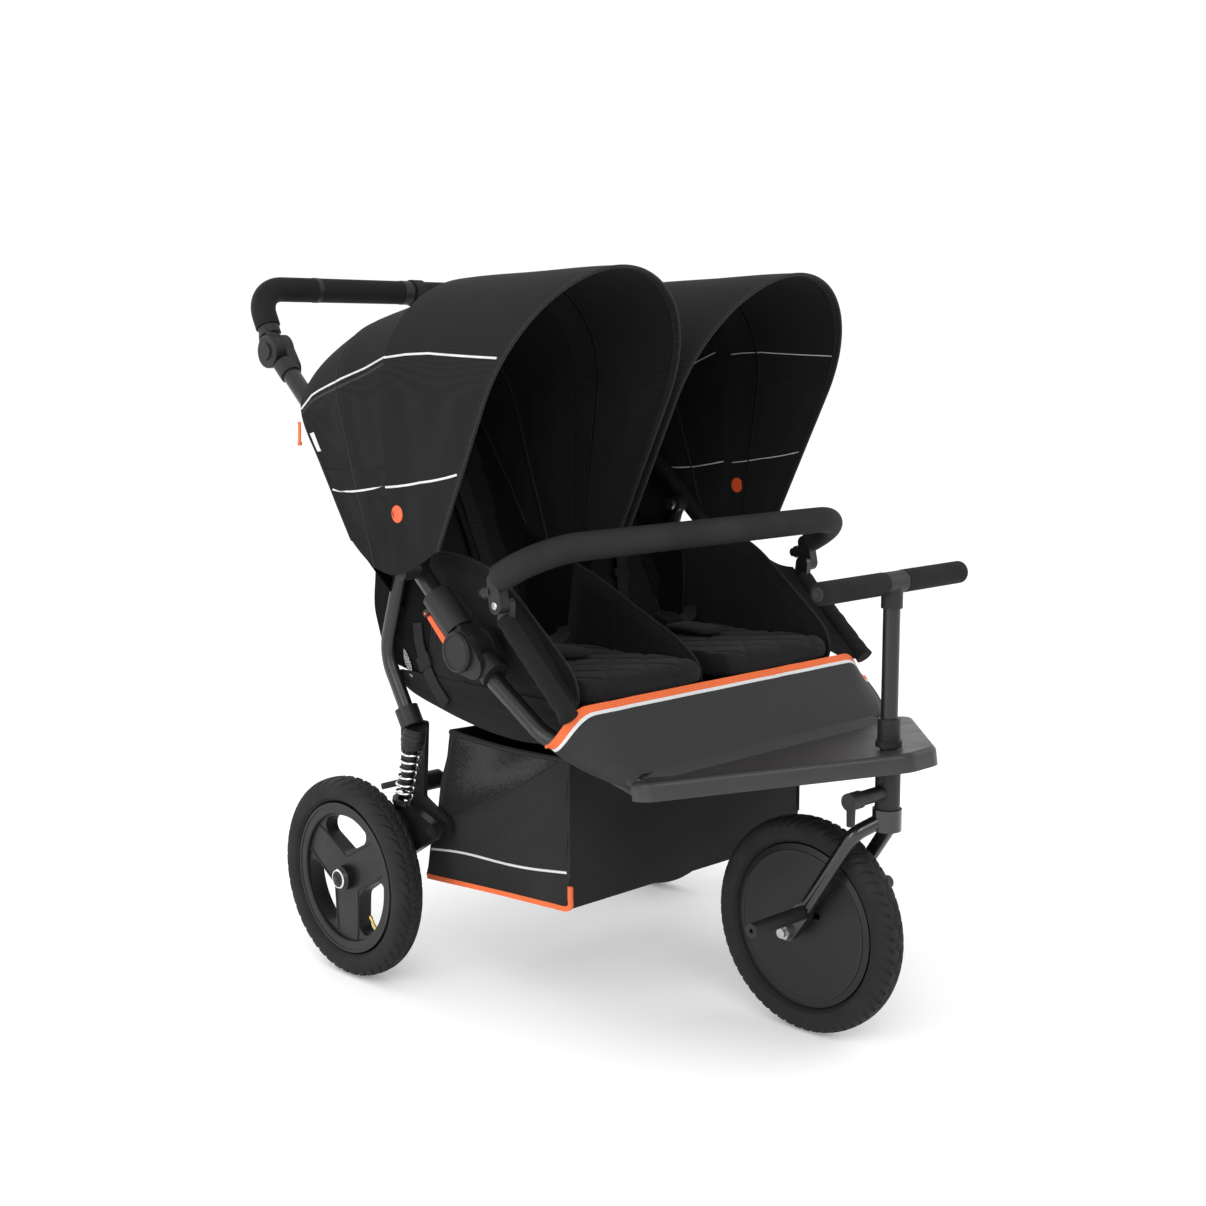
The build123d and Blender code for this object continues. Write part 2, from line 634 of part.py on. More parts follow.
def leg_socket():
    """Socket under the leg with the spring's upper seat, the drop bracket and the arm's pivot pin."""
    leg_slope = angle_of(LEG_BEND, LEG_FOOT)
    collar = bar_between(LEG_X, along(LEG_FOOT, leg_slope, -22), along(LEG_FOOT, leg_slope, 8), 18)
    cup = bar_between(LEG_X, along(SPRING_TOP, SPRING_SLOPE, -32), SPRING_TOP, SPRING_R + 1.5)
    damper = bar_between(LEG_X, SPRING_TOP, along(SPRING_TOP, SPRING_SLOPE, 72), 7)
    outline = [(-112, 408), (-50, 408), (-48, 290), (-84, 262), (-136, 234), (-164, 240), (-160, 264),
               (-104, 290)]
    bracket = plate(outline, BRACKET_X, BRACKET_X + 7, corner=5)
    tie = round_bar((-98, 396), 11, BRACKET_X, LEG_X)
    pin = round_bar(ARM_PIVOT, PIN_R, BRACKET_X, LEG_X + ARM_HALF)
    body = collar + cup + damper + bracket + tie + pin
    return solid_of(body - leg_tube())


def suspension_arm():
    """Trailing arm: pivot eye, spring seat and the wheel's stub axle."""
    inner, outer = LEG_X - ARM_HALF, LEG_X + ARM_HALF
    arm = lug_plate([(ARM_PIVOT, 14), (REAR_AXLE, 15)], inner, outer)
    arm += lug_plate([(ARM_PIVOT, 14), (along(SPRING_FOOT, SPRING_SLOPE, 12), 12), (REAR_AXLE, 15)],
                     inner, outer)
    seat = bar_between(LEG_X, SPRING_FOOT, along(SPRING_FOOT, SPRING_SLOPE, 6), SPRING_R + 0.5)
    boss = round_bar(REAR_AXLE, 15, outer, HALF_TRACK - HUB_HALF - JOINT_GAP)
    stub = round_bar(REAR_AXLE, PIN_R, outer, HALF_TRACK + STUB_END)
    damper_from, damper_to = (along(SPRING_TOP, SPRING_SLOPE, distance) for distance in (40, 108))
    hollow = bar_between(LEG_X, damper_from, damper_to, 9)
    body = arm + seat + boss + stub - hollow
    return solid_of(body - round_bar(ARM_PIVOT, PIN_R + RUNNING_GAP, inner - 1, outer + 1))


def spring():
    """Outer shape of the coil spring: a sleeve between its two seats."""
    start, end = along(SPRING_TOP, SPRING_SLOPE, 0.3), along(SPRING_FOOT, SPRING_SLOPE, -0.3)
    path = [(LEG_X, *start), (LEG_X, *end)]
    return solid_of(rod(path, SPRING_R) - rod(path, SPRING_R - 5))


def brake_pedal():
    """Foot lever of the parking brake on the rear cross tube, right of the middle."""
    x_from, x_to = -236.0, -206.0
    hub = round_bar(CROSS, 15, x_from, x_to) - round_bar(CROSS, 9 + RUNNING_GAP, x_from, x_to)
    y, z = CROSS
    lever_line = [(y + 11, z + 6), (y + 68, z - 14), (y + 66, z - 22), (y + 11, z - 6)]
    pad_line = [(y + 58, z - 6), (y + 100, z - 20), (y + 98, z - 30), (y + 56, z - 16)]
    lever = plate(lever_line, x_from + 6, x_to - 6, corner=2)
    pad = plate(pad_line, x_from - 8, x_to + 8, corner=3)
    return solid_of(hub + lever + pad)


save_pair("rear_legs", rear_leg())
left_socket = leg_socket()
save("rear_subframe", left_socket, to_right(left_socket), round_bar(CROSS, 9, -BRACKET_X, BRACKET_X))
save_sides("suspension_arm", suspension_arm())
save_pair("suspension_springs", spring())
save("brake_pedal", brake_pedal())


# ---- soft goods on the front frame -------------------------------------------------------------
BUCKET_HALF = 257.0


def leg_panel():
    """Cloth panel that falls from the seats' front edge to the foot strip."""
    top, foot = (-478.0, 481.0), (-560.0, 411.0)
    slope = angle_of(top, foot)
    length = math.dist(top, foot)
    plane = Plane(origin=(0, *top), x_dir=(1, 0, 0), z_dir=(0, math.sin(slope), -math.cos(slope)))
    outline = make_face(Polyline((-288, 0), (288, 0), (246, -length), (-246, -length), close=True))
    return solid_of(extrude(plane * outline, amount=4))


def seat_pad():
    """Seat cushion, rounded at its front."""
    outline = [(-470, 497), (-462, 520), (-300, 516), (-128, 508), (-128, 466), (-300, 468), (-462, 476)]
    return plate(outline, SEAT_INNER, SEAT_OUTER, corner=8)


def seat_bucket():
    """Cloth sling under both seats."""
    outer = [(-440, 455), (-396, 424), (-250, 424), (-88, 440), (-66, 458)]
    inner = [(y, z + 5) for y, z in outer]
    return plate(outer + inner[::-1], -BUCKET_HALF, BUCKET_HALF)


def side_wing():
    """Padded cloth side of the seat."""
    outline = [(-446, 478), (-436, 516), (-340, 574), (-170, 610), (-136, 600), (-136, 470)]
    return plate(outline, 270, 276, corner=10)


def divider():
    """Padded cloth wall between the two seats."""
    outline = [(-430, 478), (-424, 508), (-330, 560), (-180, 625), (-134, 632), (-134, 462)]
    return plate(outline, -7, 7, corner=10)


def crotch_strap():
    """Padded crotch strap with the harness buckle on its upper end."""
    x_mid = (SEAT_INNER + SEAT_OUTER) / 2
    strap_line = [(-300, 517.5), (-232, 516.5), (-232, 524), (-300, 526)]
    buckle_line = [(-234, 518), (-196, 528), (-200, 542), (-238, 531)]
    strap = plate(strap_line, x_mid - 24, x_mid + 24, corner=2)
    buckle = plate(buckle_line, x_mid - 20, x_mid + 20, corner=4)
    return solid_of(strap + buckle)


def basket():
    """Cloth basket between the wheels, open at the top."""
    outer = [(-413, 398), (-413, 192), (-80, 168), (-150, 398)]
    w = BASKET_WALL
    inner = [(-413 + w, 410), (-413 + w, 192 + w), (-80 - 1.3 * w, 168 + w), (-153 - w, 410)]
    half = BASKET_HALF
    return solid_of(plate(outer, -half, half) - plate(inner, -half + w, half - w))


save("leg_panel", leg_panel())
save_pair("seat_pads", seat_pad())
save("seat_bucket", seat_bucket())
left_wing = side_wing()
save("seat_walls", left_wing, to_right(left_wing), divider())
save_pair("crotch_straps", crotch_strap())
save("basket", basket())

# ---- backrests (recline on the handle frame) ---------------------------------------------------
BACK_FOOT = (-106.0, 502.0)
BACK_TOP = (60.0, 850.0)
BACK_THICK = 32.0
BACK_SLOPE = angle_of(BACK_FOOT, BACK_TOP)


def backrest():
    """Padded backrest; its foot lies just behind the seat pad."""
    return slab([BACK_FOOT, BACK_TOP], -BACK_THICK, SEAT_INNER, SEAT_OUTER)


def harness():
    """The two shoulder pads of one harness, lying on the backrest."""
    x_mid = (SEAT_INNER + SEAT_OUTER) / 2
    low, high = along(BACK_FOOT, BACK_SLOPE, 120, 1), along(BACK_FOOT, BACK_SLOPE, 290, 1)
    return [slab([low, high], 11, x_mid + side * 46 - 21, x_mid + side * 46 + 21) for side in (-1, 1)]


save_sides("backrest", backrest())
left_pads = harness()
save("harness_pads_left", *left_pads)
save("harness_pads_right", *[to_right(pad) for pad in left_pads])


# ---- canopies ----------------------------------------------------------------------------------
def canopy_bow(half, base, top, arch):
    """Section of a canopy's cloth where a bow stands: two straight sides and an elliptical arch."""
    slope = angle_of(base, top)
    spring_line = math.dist(base, top) - arch
    plane = Plane(origin=(CANOPY_X, *base), x_dir=(1, 0, 0), z_dir=(0, -math.sin(slope), math.cos(slope)))
    inner = half - CLOTH
    outer_arch = EllipticalCenterArc((0, spring_line), half, arch, arc_size=180)
    inner_arch = EllipticalCenterArc((0, spring_line), inner, arch - CLOTH, arc_size=180)
    edges = [
        Line((half, 0), (half, spring_line)),
        outer_arch,
        Line((-half, spring_line), (-half, 0)),
        Line((-half, 0), (-inner, 0)),
        Line((-inner, 0), (-inner, spring_line)),
        inner_arch,
        Line((inner, spring_line), (inner, 0)),
        Line((inner, 0), (half, 0)),
    ]
    return plane * make_face(edges)


def crest(degrees, reach):
    """Top of a bow, seen from the canopy's pivot."""
    return along(CANOPY_PIVOT, math.radians(degrees), reach)


# each bow: the foot of its sides, its crest, and the rise of its arch
REAR_BOW = ((-60.0, 687.0), crest(46, 412), 126.0)
SECOND_BOW = ((-112.0, 652.0), crest(63, 416), 146.0)
MIDDLE_BOW = ((-165.0, 645.0), crest(91, 416), 160.0)
VISOR_BACK = ((-158.0, 645.0), crest(86, 419), 162.0)
VISOR_MIDDLE = ((-205.0, 657.0), crest(107, 445), 184.0)
VISOR_FRONT = ((-266.0, 688.0), crest(124, 513), 205.0)
NEST = 6.0                 # the fixed part of a canopy lies this much inside the visor


def hood():
    """Fixed rear part of a canopy."""
    bows = []
    for base, top, arch in (REAR_BOW, SECOND_BOW, MIDDLE_BOW):
        slope = angle_of(base, top)
        bows.append(canopy_bow(HOOD_HALF, base, along(top, slope, -NEST), arch))
    return solid_of(loft(bows))


def visor():
    """Front part of a canopy, which swings back over the fixed part."""
    return solid_of(loft([canopy_bow(VISOR_HALF, *bow) for bow in (VISOR_BACK, VISOR_MIDDLE, VISOR_FRONT)]))


def canopy_hub():
    """Round plastic hub between the handle tube and the canopy's side."""
    return round_bar(CANOPY_PIVOT, 13, SIDE_X + 8, CANOPY_X + HOOD_HALF - CLOTH - 0.6)


def zip_pull():
    """Cord pull that hangs from the zip at the canopy's rear edge."""
    x_mid = CANOPY_X + HOOD_HALF - CLOTH / 2
    y, z = 70.0, 856.0
    outline = [(y - 2.5, z + 2), (y + 2.5, z + 2), (y + 3, z - 36), (y - 3, z - 36)]
    return plate(outline, x_mid - 1.2, x_mid + 1.2, corner=1)


save_sides("canopy_hood", hood())
save_sides("canopy_visor", visor())
hub = solid_of(canopy_hub() - rod([(SIDE_X, *FOLD), (SIDE_X, *TILT)], TUBE_R))
save_pair("canopy_hubs", hub)
save_sides("zip_pull", zip_pull())

print(len(written), "sub-parts")
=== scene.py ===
import json
import math

import bmesh
import bpy
import numpy as np
from mathutils import Matrix, Vector


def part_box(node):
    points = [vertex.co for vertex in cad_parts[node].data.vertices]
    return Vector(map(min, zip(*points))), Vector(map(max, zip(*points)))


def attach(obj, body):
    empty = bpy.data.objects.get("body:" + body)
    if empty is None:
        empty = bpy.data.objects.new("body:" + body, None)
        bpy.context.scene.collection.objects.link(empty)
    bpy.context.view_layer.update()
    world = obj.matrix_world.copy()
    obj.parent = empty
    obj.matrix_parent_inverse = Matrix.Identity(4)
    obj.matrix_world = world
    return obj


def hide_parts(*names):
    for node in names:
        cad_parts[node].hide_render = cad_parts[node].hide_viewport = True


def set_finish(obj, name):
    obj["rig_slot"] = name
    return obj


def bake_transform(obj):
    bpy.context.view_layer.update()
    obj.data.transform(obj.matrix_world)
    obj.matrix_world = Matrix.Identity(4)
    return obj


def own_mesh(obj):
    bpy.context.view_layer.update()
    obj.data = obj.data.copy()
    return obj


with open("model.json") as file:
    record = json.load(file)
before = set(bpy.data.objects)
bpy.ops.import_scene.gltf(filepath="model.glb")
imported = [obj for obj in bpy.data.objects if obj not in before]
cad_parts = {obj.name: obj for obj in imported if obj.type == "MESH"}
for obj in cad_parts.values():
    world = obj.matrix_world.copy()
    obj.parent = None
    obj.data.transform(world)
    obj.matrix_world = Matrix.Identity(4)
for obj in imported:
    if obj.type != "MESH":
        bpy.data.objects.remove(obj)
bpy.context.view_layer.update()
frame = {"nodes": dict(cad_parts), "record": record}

# Design places are in millimetres, with y counted from the rear axle, as in the part's source.
JOINTS = {j["name"]: j for j in frame["record"]["behaviour"]["joints"]}
AXLE_Y = JOINTS["rear_wheel_spin_left"]["pos_m"][1]


def pt(x, y, z):
    """A design place in the row frame, in metres."""
    return Vector((x / 1000, y / 1000 + AXLE_Y, z / 1000))


def joint_place(name):
    """The (y, z) of a joint in design millimetres."""
    _, y, z = JOINTS[name]["pos_m"]
    return ((y - AXLE_Y) * 1000, z * 1000)


WHEEL_R = 156.0
RIM_R = 117.9
HALF_TRACK = 330.0
FRONT_AXLE = joint_place("front_wheel_spin")
HEAD_Y = joint_place("fork_swivel")[0]
FOLD = joint_place("frame_fold")
CANOPY_PIVOT = joint_place("canopy_fold_left")
HANDLE = (238.0, 1060.0)
SIDE_X = 318.0
LEG_X = 290.0
SIDES = (("left", 1), ("right", -1))


def along(start, angle, distance, offset=0.0):
    c, s = math.cos(angle), math.sin(angle)
    return (start[0] + distance * c - offset * s, start[1] + distance * s + offset * c)


# ---- materials ---------------------------------------------------------------------------------
class Nodes:
    """A short way to write node trees: each call makes a node and links its inputs."""

    def __init__(self, name):
        self.material = bpy.data.materials.new(name)
        self.material.use_nodes = True
        self.tree = self.material.node_tree
        self.shader = self.tree.nodes["Principled BSDF"]

    def add(self, kind, inputs=None, **settings):
        node = self.tree.nodes.new(kind)
        for key, value in settings.items():
            setattr(node, key, value)
        for key, value in (inputs or {}).items():
            self.put(node.inputs[key], value)
        return node

    def put(self, socket, value):
        if isinstance(value, bpy.types.NodeSocket):
            self.tree.links.new(value, socket)
        else:
            socket.default_value = value

    def set(self, **values):
        for key, value in values.items():
            self.put(self.shader.inputs[key.replace("_", " ")], value)

    def math(self, operation, a, b=0.0):
        node = self.add("ShaderNodeMath", operation=operation)
        self.put(node.inputs[0], a)
        self.put(node.inputs[1], b)
        return node.outputs[0]

    def noise(self, scale, detail=3.0, vector=None):
        node = self.add("ShaderNodeTexNoise", {"Scale": scale, "Detail": detail})
        if vector:
            self.put(node.inputs["Vector"], vector)
        return node.outputs["Fac"]

    def span(self, value, low, high, to_low, to_high):
        node = self.add("ShaderNodeMapRange", {"From Min": low, "From Max": high, "To Min": to_low,
                                               "To Max": to_high})
        self.put(node.inputs["Value"], value)
        return node.outputs["Result"]

    def mix(self, fac, a, b):
        node = self.add("ShaderNodeMix", data_type="RGBA")
        self.put(node.inputs[0], fac)
        self.put(node.inputs[6], a)
        self.put(node.inputs[7], b)
        return node.outputs[2]

    def bump(self, height, distance, strength=1.0, below=None):
        node = self.add("ShaderNodeBump", {"Strength": strength, "Distance": distance})
        self.put(node.inputs["Height"], height)
        if below:
            self.put(node.inputs["Normal"], below)
        return node.outputs["Normal"]


def grey(value, warm=0.0):
    return (value * (1 + warm), value, value * (1 - warm), 1)


def place_vector(n):
    return n.add("ShaderNodeTexCoord").outputs["Object"]


def weave(n, vector, pitch):
    """Threads crossing at a right angle on every face, as a height from 0 to 1."""
    waves = []
    for direction in "XYZ":
        wave = n.add("ShaderNodeTexWave", {"Scale": 0.31416 / pitch / 2, "Distortion": 0.4, "Detail": 1.0,
                                           "Detail Scale": 3.0},
                     wave_type="BANDS", bands_direction=direction)
        n.put(wave.inputs["Vector"], vector)
        waves.append(wave.outputs["Fac"])
    both = n.math("MAXIMUM", n.math("MULTIPLY", waves[0], waves[1]), n.math("MULTIPLY", waves[1], waves[2]))
    return n.math("MAXIMUM", both, n.math("MULTIPLY", waves[0], waves[2]))


def fabric(name, colour, pitch=0.0011, rough=0.86, sheen=0.02, depth=0.00014, crease=0.0012, fade=1.18,
           gloss=0.1):
    n = Nodes(name)
    vector = place_vector(n)
    threads = weave(n, vector, pitch)
    blotch = n.noise(9.0, 4.0, vector)
    fine = n.noise(420.0, 2.0, vector)
    dark = tuple(c * 0.8 for c in colour[:3]) + (1,)
    light = tuple(min(1, c * fade) for c in colour[:3]) + (1,)
    tone = n.mix(n.span(blotch, 0.3, 0.7, 0, 1), dark, colour)
    tone = n.mix(n.span(n.math("MULTIPLY", threads, fine), 0.1, 0.5, 0, 1), tone, light)
    folds = n.bump(n.noise(28.0, 2.0, vector), crease, 0.6)
    n.set(Base_Color=tone, Roughness=n.span(threads, 0, 1, min(1, rough + 0.08), rough - 0.05),
          Normal=n.bump(n.math("MULTIPLY", threads, fine), depth, 0.5, folds), Sheen_Weight=sheen,
          Sheen_Roughness=0.5,
          Specular_IOR_Level=gloss)
    return n.material


def webbing(name, colour):
    n = Nodes(name)
    vector = place_vector(n)
    wave = n.add("ShaderNodeTexWave", {"Scale": 190.0, "Distortion": 0.2}, wave_type="BANDS",
                 bands_direction="DIAGONAL")
    n.put(wave.inputs["Vector"], vector)
    ribs = n.math("MULTIPLY", wave.outputs["Fac"], weave(n, vector, 0.0016))
    light = tuple(min(1, c * 1.8) for c in colour[:3]) + (1,)
    n.set(Base_Color=n.mix(ribs, colour, light), Roughness=n.span(ribs, 0, 1, 0.85, 0.55),
          Normal=n.bump(ribs, 0.0004), Sheen_Weight=0.03, Specular_IOR_Level=0.25)
    return n.material


def plastic(name, colour, rough=0.45, grain=900.0, depth=0.00008, wear=0.3, coat=0.0, spread=0.12, gloss=0.4):
    """Moulded plastic: a fine grain, uneven gloss and slightly rubbed edges."""
    n = Nodes(name)
    vector = place_vector(n)
    cells = n.add("ShaderNodeTexVoronoi", {"Scale": grain})
    n.put(cells.inputs["Vector"], vector)
    cloud = n.noise(24.0, 5.0, vector)
    edge = n.span(n.add("ShaderNodeNewGeometry").outputs["Pointiness"], 0.52, 0.6, 0, wear)
    light = tuple(min(1, c * 2.2 + 0.01) for c in colour[:3]) + (1,)
    tone = n.mix(n.math("MULTIPLY", edge, n.noise(160.0, 3.0, vector)), colour, light)
    n.set(Base_Color=tone, Roughness=n.span(cloud, 0.3, 0.7, rough - spread / 2, rough + spread / 2),
          Normal=n.bump(cells.outputs["Distance"], depth, 0.7), Coat_Weight=coat, Coat_Roughness=0.2,
          Specular_IOR_Level=gloss)
    return n.material


def foam(name, colour, rough=0.8):
    """Closed-cell foam with a skin of tiny pores."""
    n = Nodes(name)
    vector = place_vector(n)
    pores = n.add("ShaderNodeTexVoronoi", {"Scale": 620.0})
    n.put(pores.inputs["Vector"], vector)
    pit = n.span(pores.outputs["Distance"], 0.0, 0.4, 0, 1)
    rub = n.span(n.noise(14.0, 5.0, vector), 0.35, 0.75, 0, 1)
    light = tuple(c * 1.5 for c in colour[:3]) + (1,)
    n.set(Base_Color=n.mix(n.math("MULTIPLY", rub, 0.6), colour, light),
          Roughness=n.span(rub, 0, 1, rough, rough - 0.12),
          Normal=n.bump(pit, 0.0003, 0.6), Specular_IOR_Level=0.16)
    return n.material


def metal(name, colour, rough=0.25, streak=0.12, brushed=0.0):
    n = Nodes(name)
    vector = place_vector(n)
    scratches = n.noise(260.0, 4.0, vector)
    cloud = n.noise(30.0, 3.0, vector)
    dark = tuple(c * 0.75 for c in colour[:3]) + (1,)
    n.set(Base_Color=n.mix(cloud, dark, colour), Metallic=1.0,
          Roughness=n.span(scratches, 0.3, 0.7, rough - streak / 2, rough + streak / 2),
          Normal=n.bump(scratches, 0.00003 + brushed, 0.5))
    return n.material


def mesh_cloth(name, colour, pitch=0.0024, through=0.06):
    """Knitted net: round holes in cloth, painted the flat grey given by through, which is painted light seen
    through the holes.
    """
    n = Nodes(name)
    vector = place_vector(n)
    stretched = n.add("ShaderNodeVectorMath", operation="MULTIPLY")
    n.put(stretched.inputs[0], vector)
    n.put(stretched.inputs[1], (1, 1, 1.4))
    cells = n.add("ShaderNodeTexVoronoi", {"Scale": 1 / pitch, "Randomness": 0.25})
    n.put(cells.inputs["Vector"], stretched.outputs[0])
    hole = n.span(cells.outputs["Distance"], 0.36, 0.42, 0, 1)
    n.set(Base_Color=n.mix(hole, grey(through), colour), Roughness=0.75, Specular_IOR_Level=0.15,
          Normal=n.bump(cells.outputs["Distance"], 0.0004))
    return n.material


CLOTH_BLACK = fabric("cloth_black", grey(0.0115, -0.03))
# a darker, less glossy copy of the black cloth: painted shade for the cloth pieces deep inside the seat and
# under the visor
CLOTH_PAINTED_SHADE = fabric("cloth_painted_shade", grey(0.0065), pitch=0.0009, gloss=0.05, sheen=0.01)
CLOTH_PANEL = fabric("cloth_panel", grey(0.024, -0.01), pitch=0.0012, rough=0.7, depth=0.0002, crease=0.0006,
                     gloss=0.25)
CLOTH_BASKET = fabric("cloth_basket", grey(0.018), pitch=0.0012, rough=0.75, depth=0.0002, crease=0.0009)
CLOTH_PAD = fabric("cloth_pad", grey(0.0098, -0.03), pitch=0.0014, sheen=0.05, crease=0.0016)
BINDING = webbing("binding_black", grey(0.009))
WEBBING = webbing("webbing_black", grey(0.009))
STRIP = plastic("strip_rubber", grey(0.036, 0.03), rough=0.66, grain=500.0, depth=0.0002, wear=0.0,
                gloss=0.25)
# the grey in the holes of the net and the dotted cloth is painted light seen through them
NET = mesh_cloth("net_black", grey(0.0095))
DOTS = mesh_cloth("dotted_cloth", grey(0.02), pitch=0.0034, through=0.5)
ORANGE_CLOTH = fabric("orange_cloth", (0.74, 0.15, 0.05, 1), pitch=0.0012, rough=0.7, fade=1.1, depth=0.00005)
WHITE_PIPING = fabric("reflective_piping", (0.62, 0.63, 0.64, 1), pitch=0.0007, rough=0.5, fade=1.2,
                      depth=0.0001)
ORANGE_PLASTIC = plastic("orange_plastic", (0.8, 0.1, 0.025, 1), rough=0.42, wear=0.1)
FRAME_PAINT = plastic("powder_coat", grey(0.0065), rough=0.34, grain=1500.0, depth=0.00005, wear=0.25,
                      coat=0.12)
FORK_PAINT = plastic("gloss_paint", grey(0.005), rough=0.2, grain=1800.0, depth=0.00002, wear=0.2, coat=0.6)
MOULDED = plastic("moulded_black", grey(0.0085), rough=0.5, gloss=0.32)
RIM_BLACK = plastic("rim_black", grey(0.0072), rough=0.43, gloss=0.32)
TRAY_GREY = plastic("tray_satin", grey(0.0165), rough=0.42, grain=1300.0, wear=0.5)
TYRE_BLACK = plastic("tyre_rubber", grey(0.0105), rough=0.74, grain=700.0, depth=0.00012, wear=0.6,
                     spread=0.2, gloss=0.25)
FOAM_BLACK = foam("foam_black", grey(0.0085))
FOAM_BUMPER = foam("foam_charcoal", grey(0.0155))
CHROME = metal("chrome", (0.86, 0.87, 0.89, 1), rough=0.12)
ZINC = metal("zinc", (0.5, 0.5, 0.52, 1), rough=0.3)
BRASS = metal("brass", (0.8, 0.55, 0.16, 1), rough=0.3)
STITCH = webbing("thread_grey", grey(0.026))


# ---- geometry helpers --------------------------------------------------------------------------
def piece(name, places, faces, material, body, slot, smooth=True, replaces=()):
    """A mesh from design places in millimetres, riding on a body."""
    mesh = bpy.data.meshes.new(name)
    mesh.from_pydata([pt(*p) for p in places], [], [list(f) for f in faces])
    bm = bmesh.new()
    bm.from_mesh(mesh)
    bmesh.ops.recalc_face_normals(bm, faces=bm.faces)
    bm.to_mesh(mesh)
    bm.free()
    obj = bpy.data.objects.new(name, mesh)
    bpy.context.scene.collection.objects.link(obj)
    for m in material if isinstance(material, (list, tuple)) else [material]:
        mesh.materials.append(m)
    if smooth:
        mesh.shade_smooth()
        mesh.set_sharp_from_angle(angle=math.radians(38))
    if body:
        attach(obj, body)
    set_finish(obj, slot)
    if replaces:
        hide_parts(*replaces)
    return obj


def grid_faces(rows, columns, wrap_rows=False, wrap_columns=False, start=0):
    faces = []
    for i in range(rows if wrap_rows else rows - 1):
        for j in range(columns if wrap_columns else columns - 1):
            a, b = i * columns + j, i * columns + (j + 1) % columns
            c, d = ((i + 1) % rows) * columns + (j + 1) % columns, ((i + 1) % rows) * columns + j
            faces.append((start + a, start + b, start + c, start + d))
    return faces


def shell(grid, thickness, inward=1.0):
    """A closed sheet from a grid of places: the grid is one face, the other lies a thickness inside it."""
    g = np.array(grid, float)
    rows, columns = g.shape[:2]
    du = np.gradient(g, axis=0)
    dv = np.gradient(g, axis=1)
    normal = np.cross(du, dv)
    length = np.linalg.norm(normal, axis=2, keepdims=True)
    normal = normal / np.maximum(length, 1e-9)
    inner = g + normal * thickness * inward
    places = [tuple(p) for p in g.reshape(-1, 3)] + [tuple(p) for p in inner.reshape(-1, 3)]
    n = rows * columns
    faces = grid_faces(rows, columns)
    faces += [tuple(reversed(f)) for f in grid_faces(rows, columns, start=n)]
    edge = [(0, j) for j in range(columns)] + [(i, columns - 1) for i in range(1, rows)]
    edge += [(rows - 1, j) for j in range(columns - 2, -1, -1)] + [(i, 0) for i in range(rows - 2, 0, -1)]
    for (i, j), (k, m) in zip(edge, edge[1:] + edge[:1]):
        a, b = i * columns + j, k * columns + m
        faces.append((a, a + n, b + n, b))
    return places, faces


def cloth_piece(name, grid, thickness, material, body, slot, replaces=(), inward=1.0,
                smooth=True):
    places, faces = shell(grid, thickness, inward)
    obj = piece(name, places, faces, material, body, slot, smooth, replaces)
    return obj


def spline(points, count, closed=False):
    """Evenly spaced places on a smooth curve through the given ones."""
    p = np.array(points, float)
    if closed:
        p = np.vstack([p[-1:], p, p[:2]])
    else:
        p = np.vstack([2 * p[0] - p[1], p, 2 * p[-1] - p[-2]])
    dense = []
    for i in range(1, len(p) - 2):
        for t in np.linspace(0, 1, 24, endpoint=False):
            a, b, c, d = p[i - 1:i + 3]
            dense.append(0.5 * (2 * b + (c - a) * t + (2 * a - 5 * b + 4 * c - d) * t * t
                                + (3 * b - a - 3 * c + d) * t ** 3))
    if not closed:
        dense.append(p[-2])
    else:
        dense.append(dense[0])
    dense = np.array(dense)
    run = np.concatenate([[0], np.cumsum(np.linalg.norm(np.diff(dense, axis=0), axis=1))])
    want = np.linspace(0, run[-1], count + 1 if closed else count)
    if closed:
        want = want[:-1]
    return np.stack([np.interp(want, run, dense[:, k]) for k in range(3)], 1)


def frames(path, closed=False, up=None):
    """Tangent, side and normal along a path, turning as little as possible."""
    p = np.array(path, float)
    if closed:
        tangent = np.roll(p, -1, 0) - np.roll(p, 1, 0)
    else:
        tangent = np.gradient(p, axis=0)
    tangent /= np.linalg.norm(tangent, axis=1, keepdims=True)
    side = np.array(up if up is not None else ((0, 0, 1) if abs(tangent[0][2]) < 0.9 else (1, 0, 0)), float)
    sides = []
    for t in tangent:
        base = np.array(up, float) if up is not None else side
        side = base - t * base.dot(t)
        side /= np.linalg.norm(side)
        sides.append(side)
    sides = np.array(sides)
    return tangent, sides, np.cross(tangent, sides)


def tube(path, radius, around=14, closed=False, caps=True):
    """Places and faces of a round tube; radius is a number or a function of the share of its length."""
    p = np.array(path, float)
    _, a, b = frames(p, closed)
    n = len(p)
    places, faces = [], grid_faces(n, around, wrap_rows=closed, wrap_columns=True)
    for i in range(n):
        for k in range(around):
            angle = 2 * math.pi * k / around
            r = radius(i / (n - 1), angle) if callable(radius) else radius
            places.append(tuple(p[i] + r * (math.cos(angle) * a[i] + math.sin(angle) * b[i])))
    if caps and not closed:
        faces += [tuple(range(around - 1, -1, -1)), tuple((n - 1) * around + k for k in range(around))]
    return places, faces


def strap(path, width, thick, up):
    """A flat band along a path; up is the direction of its width."""
    p = np.array(path, float)
    _, a, b = frames(p, up=up)
    section = [(-width / 2, -thick / 2), (width / 2, -thick / 2), (width / 2, thick / 2),
               (-width / 2, thick / 2)]
    places = [tuple(p[i] + u * a[i] + v * b[i]) for i in range(len(p)) for u, v in section]
    faces = grid_faces(len(p), 4, wrap_columns=True)
    faces += [(3, 2, 1, 0), tuple((len(p) - 1) * 4 + k for k in range(4))]
    return places, faces


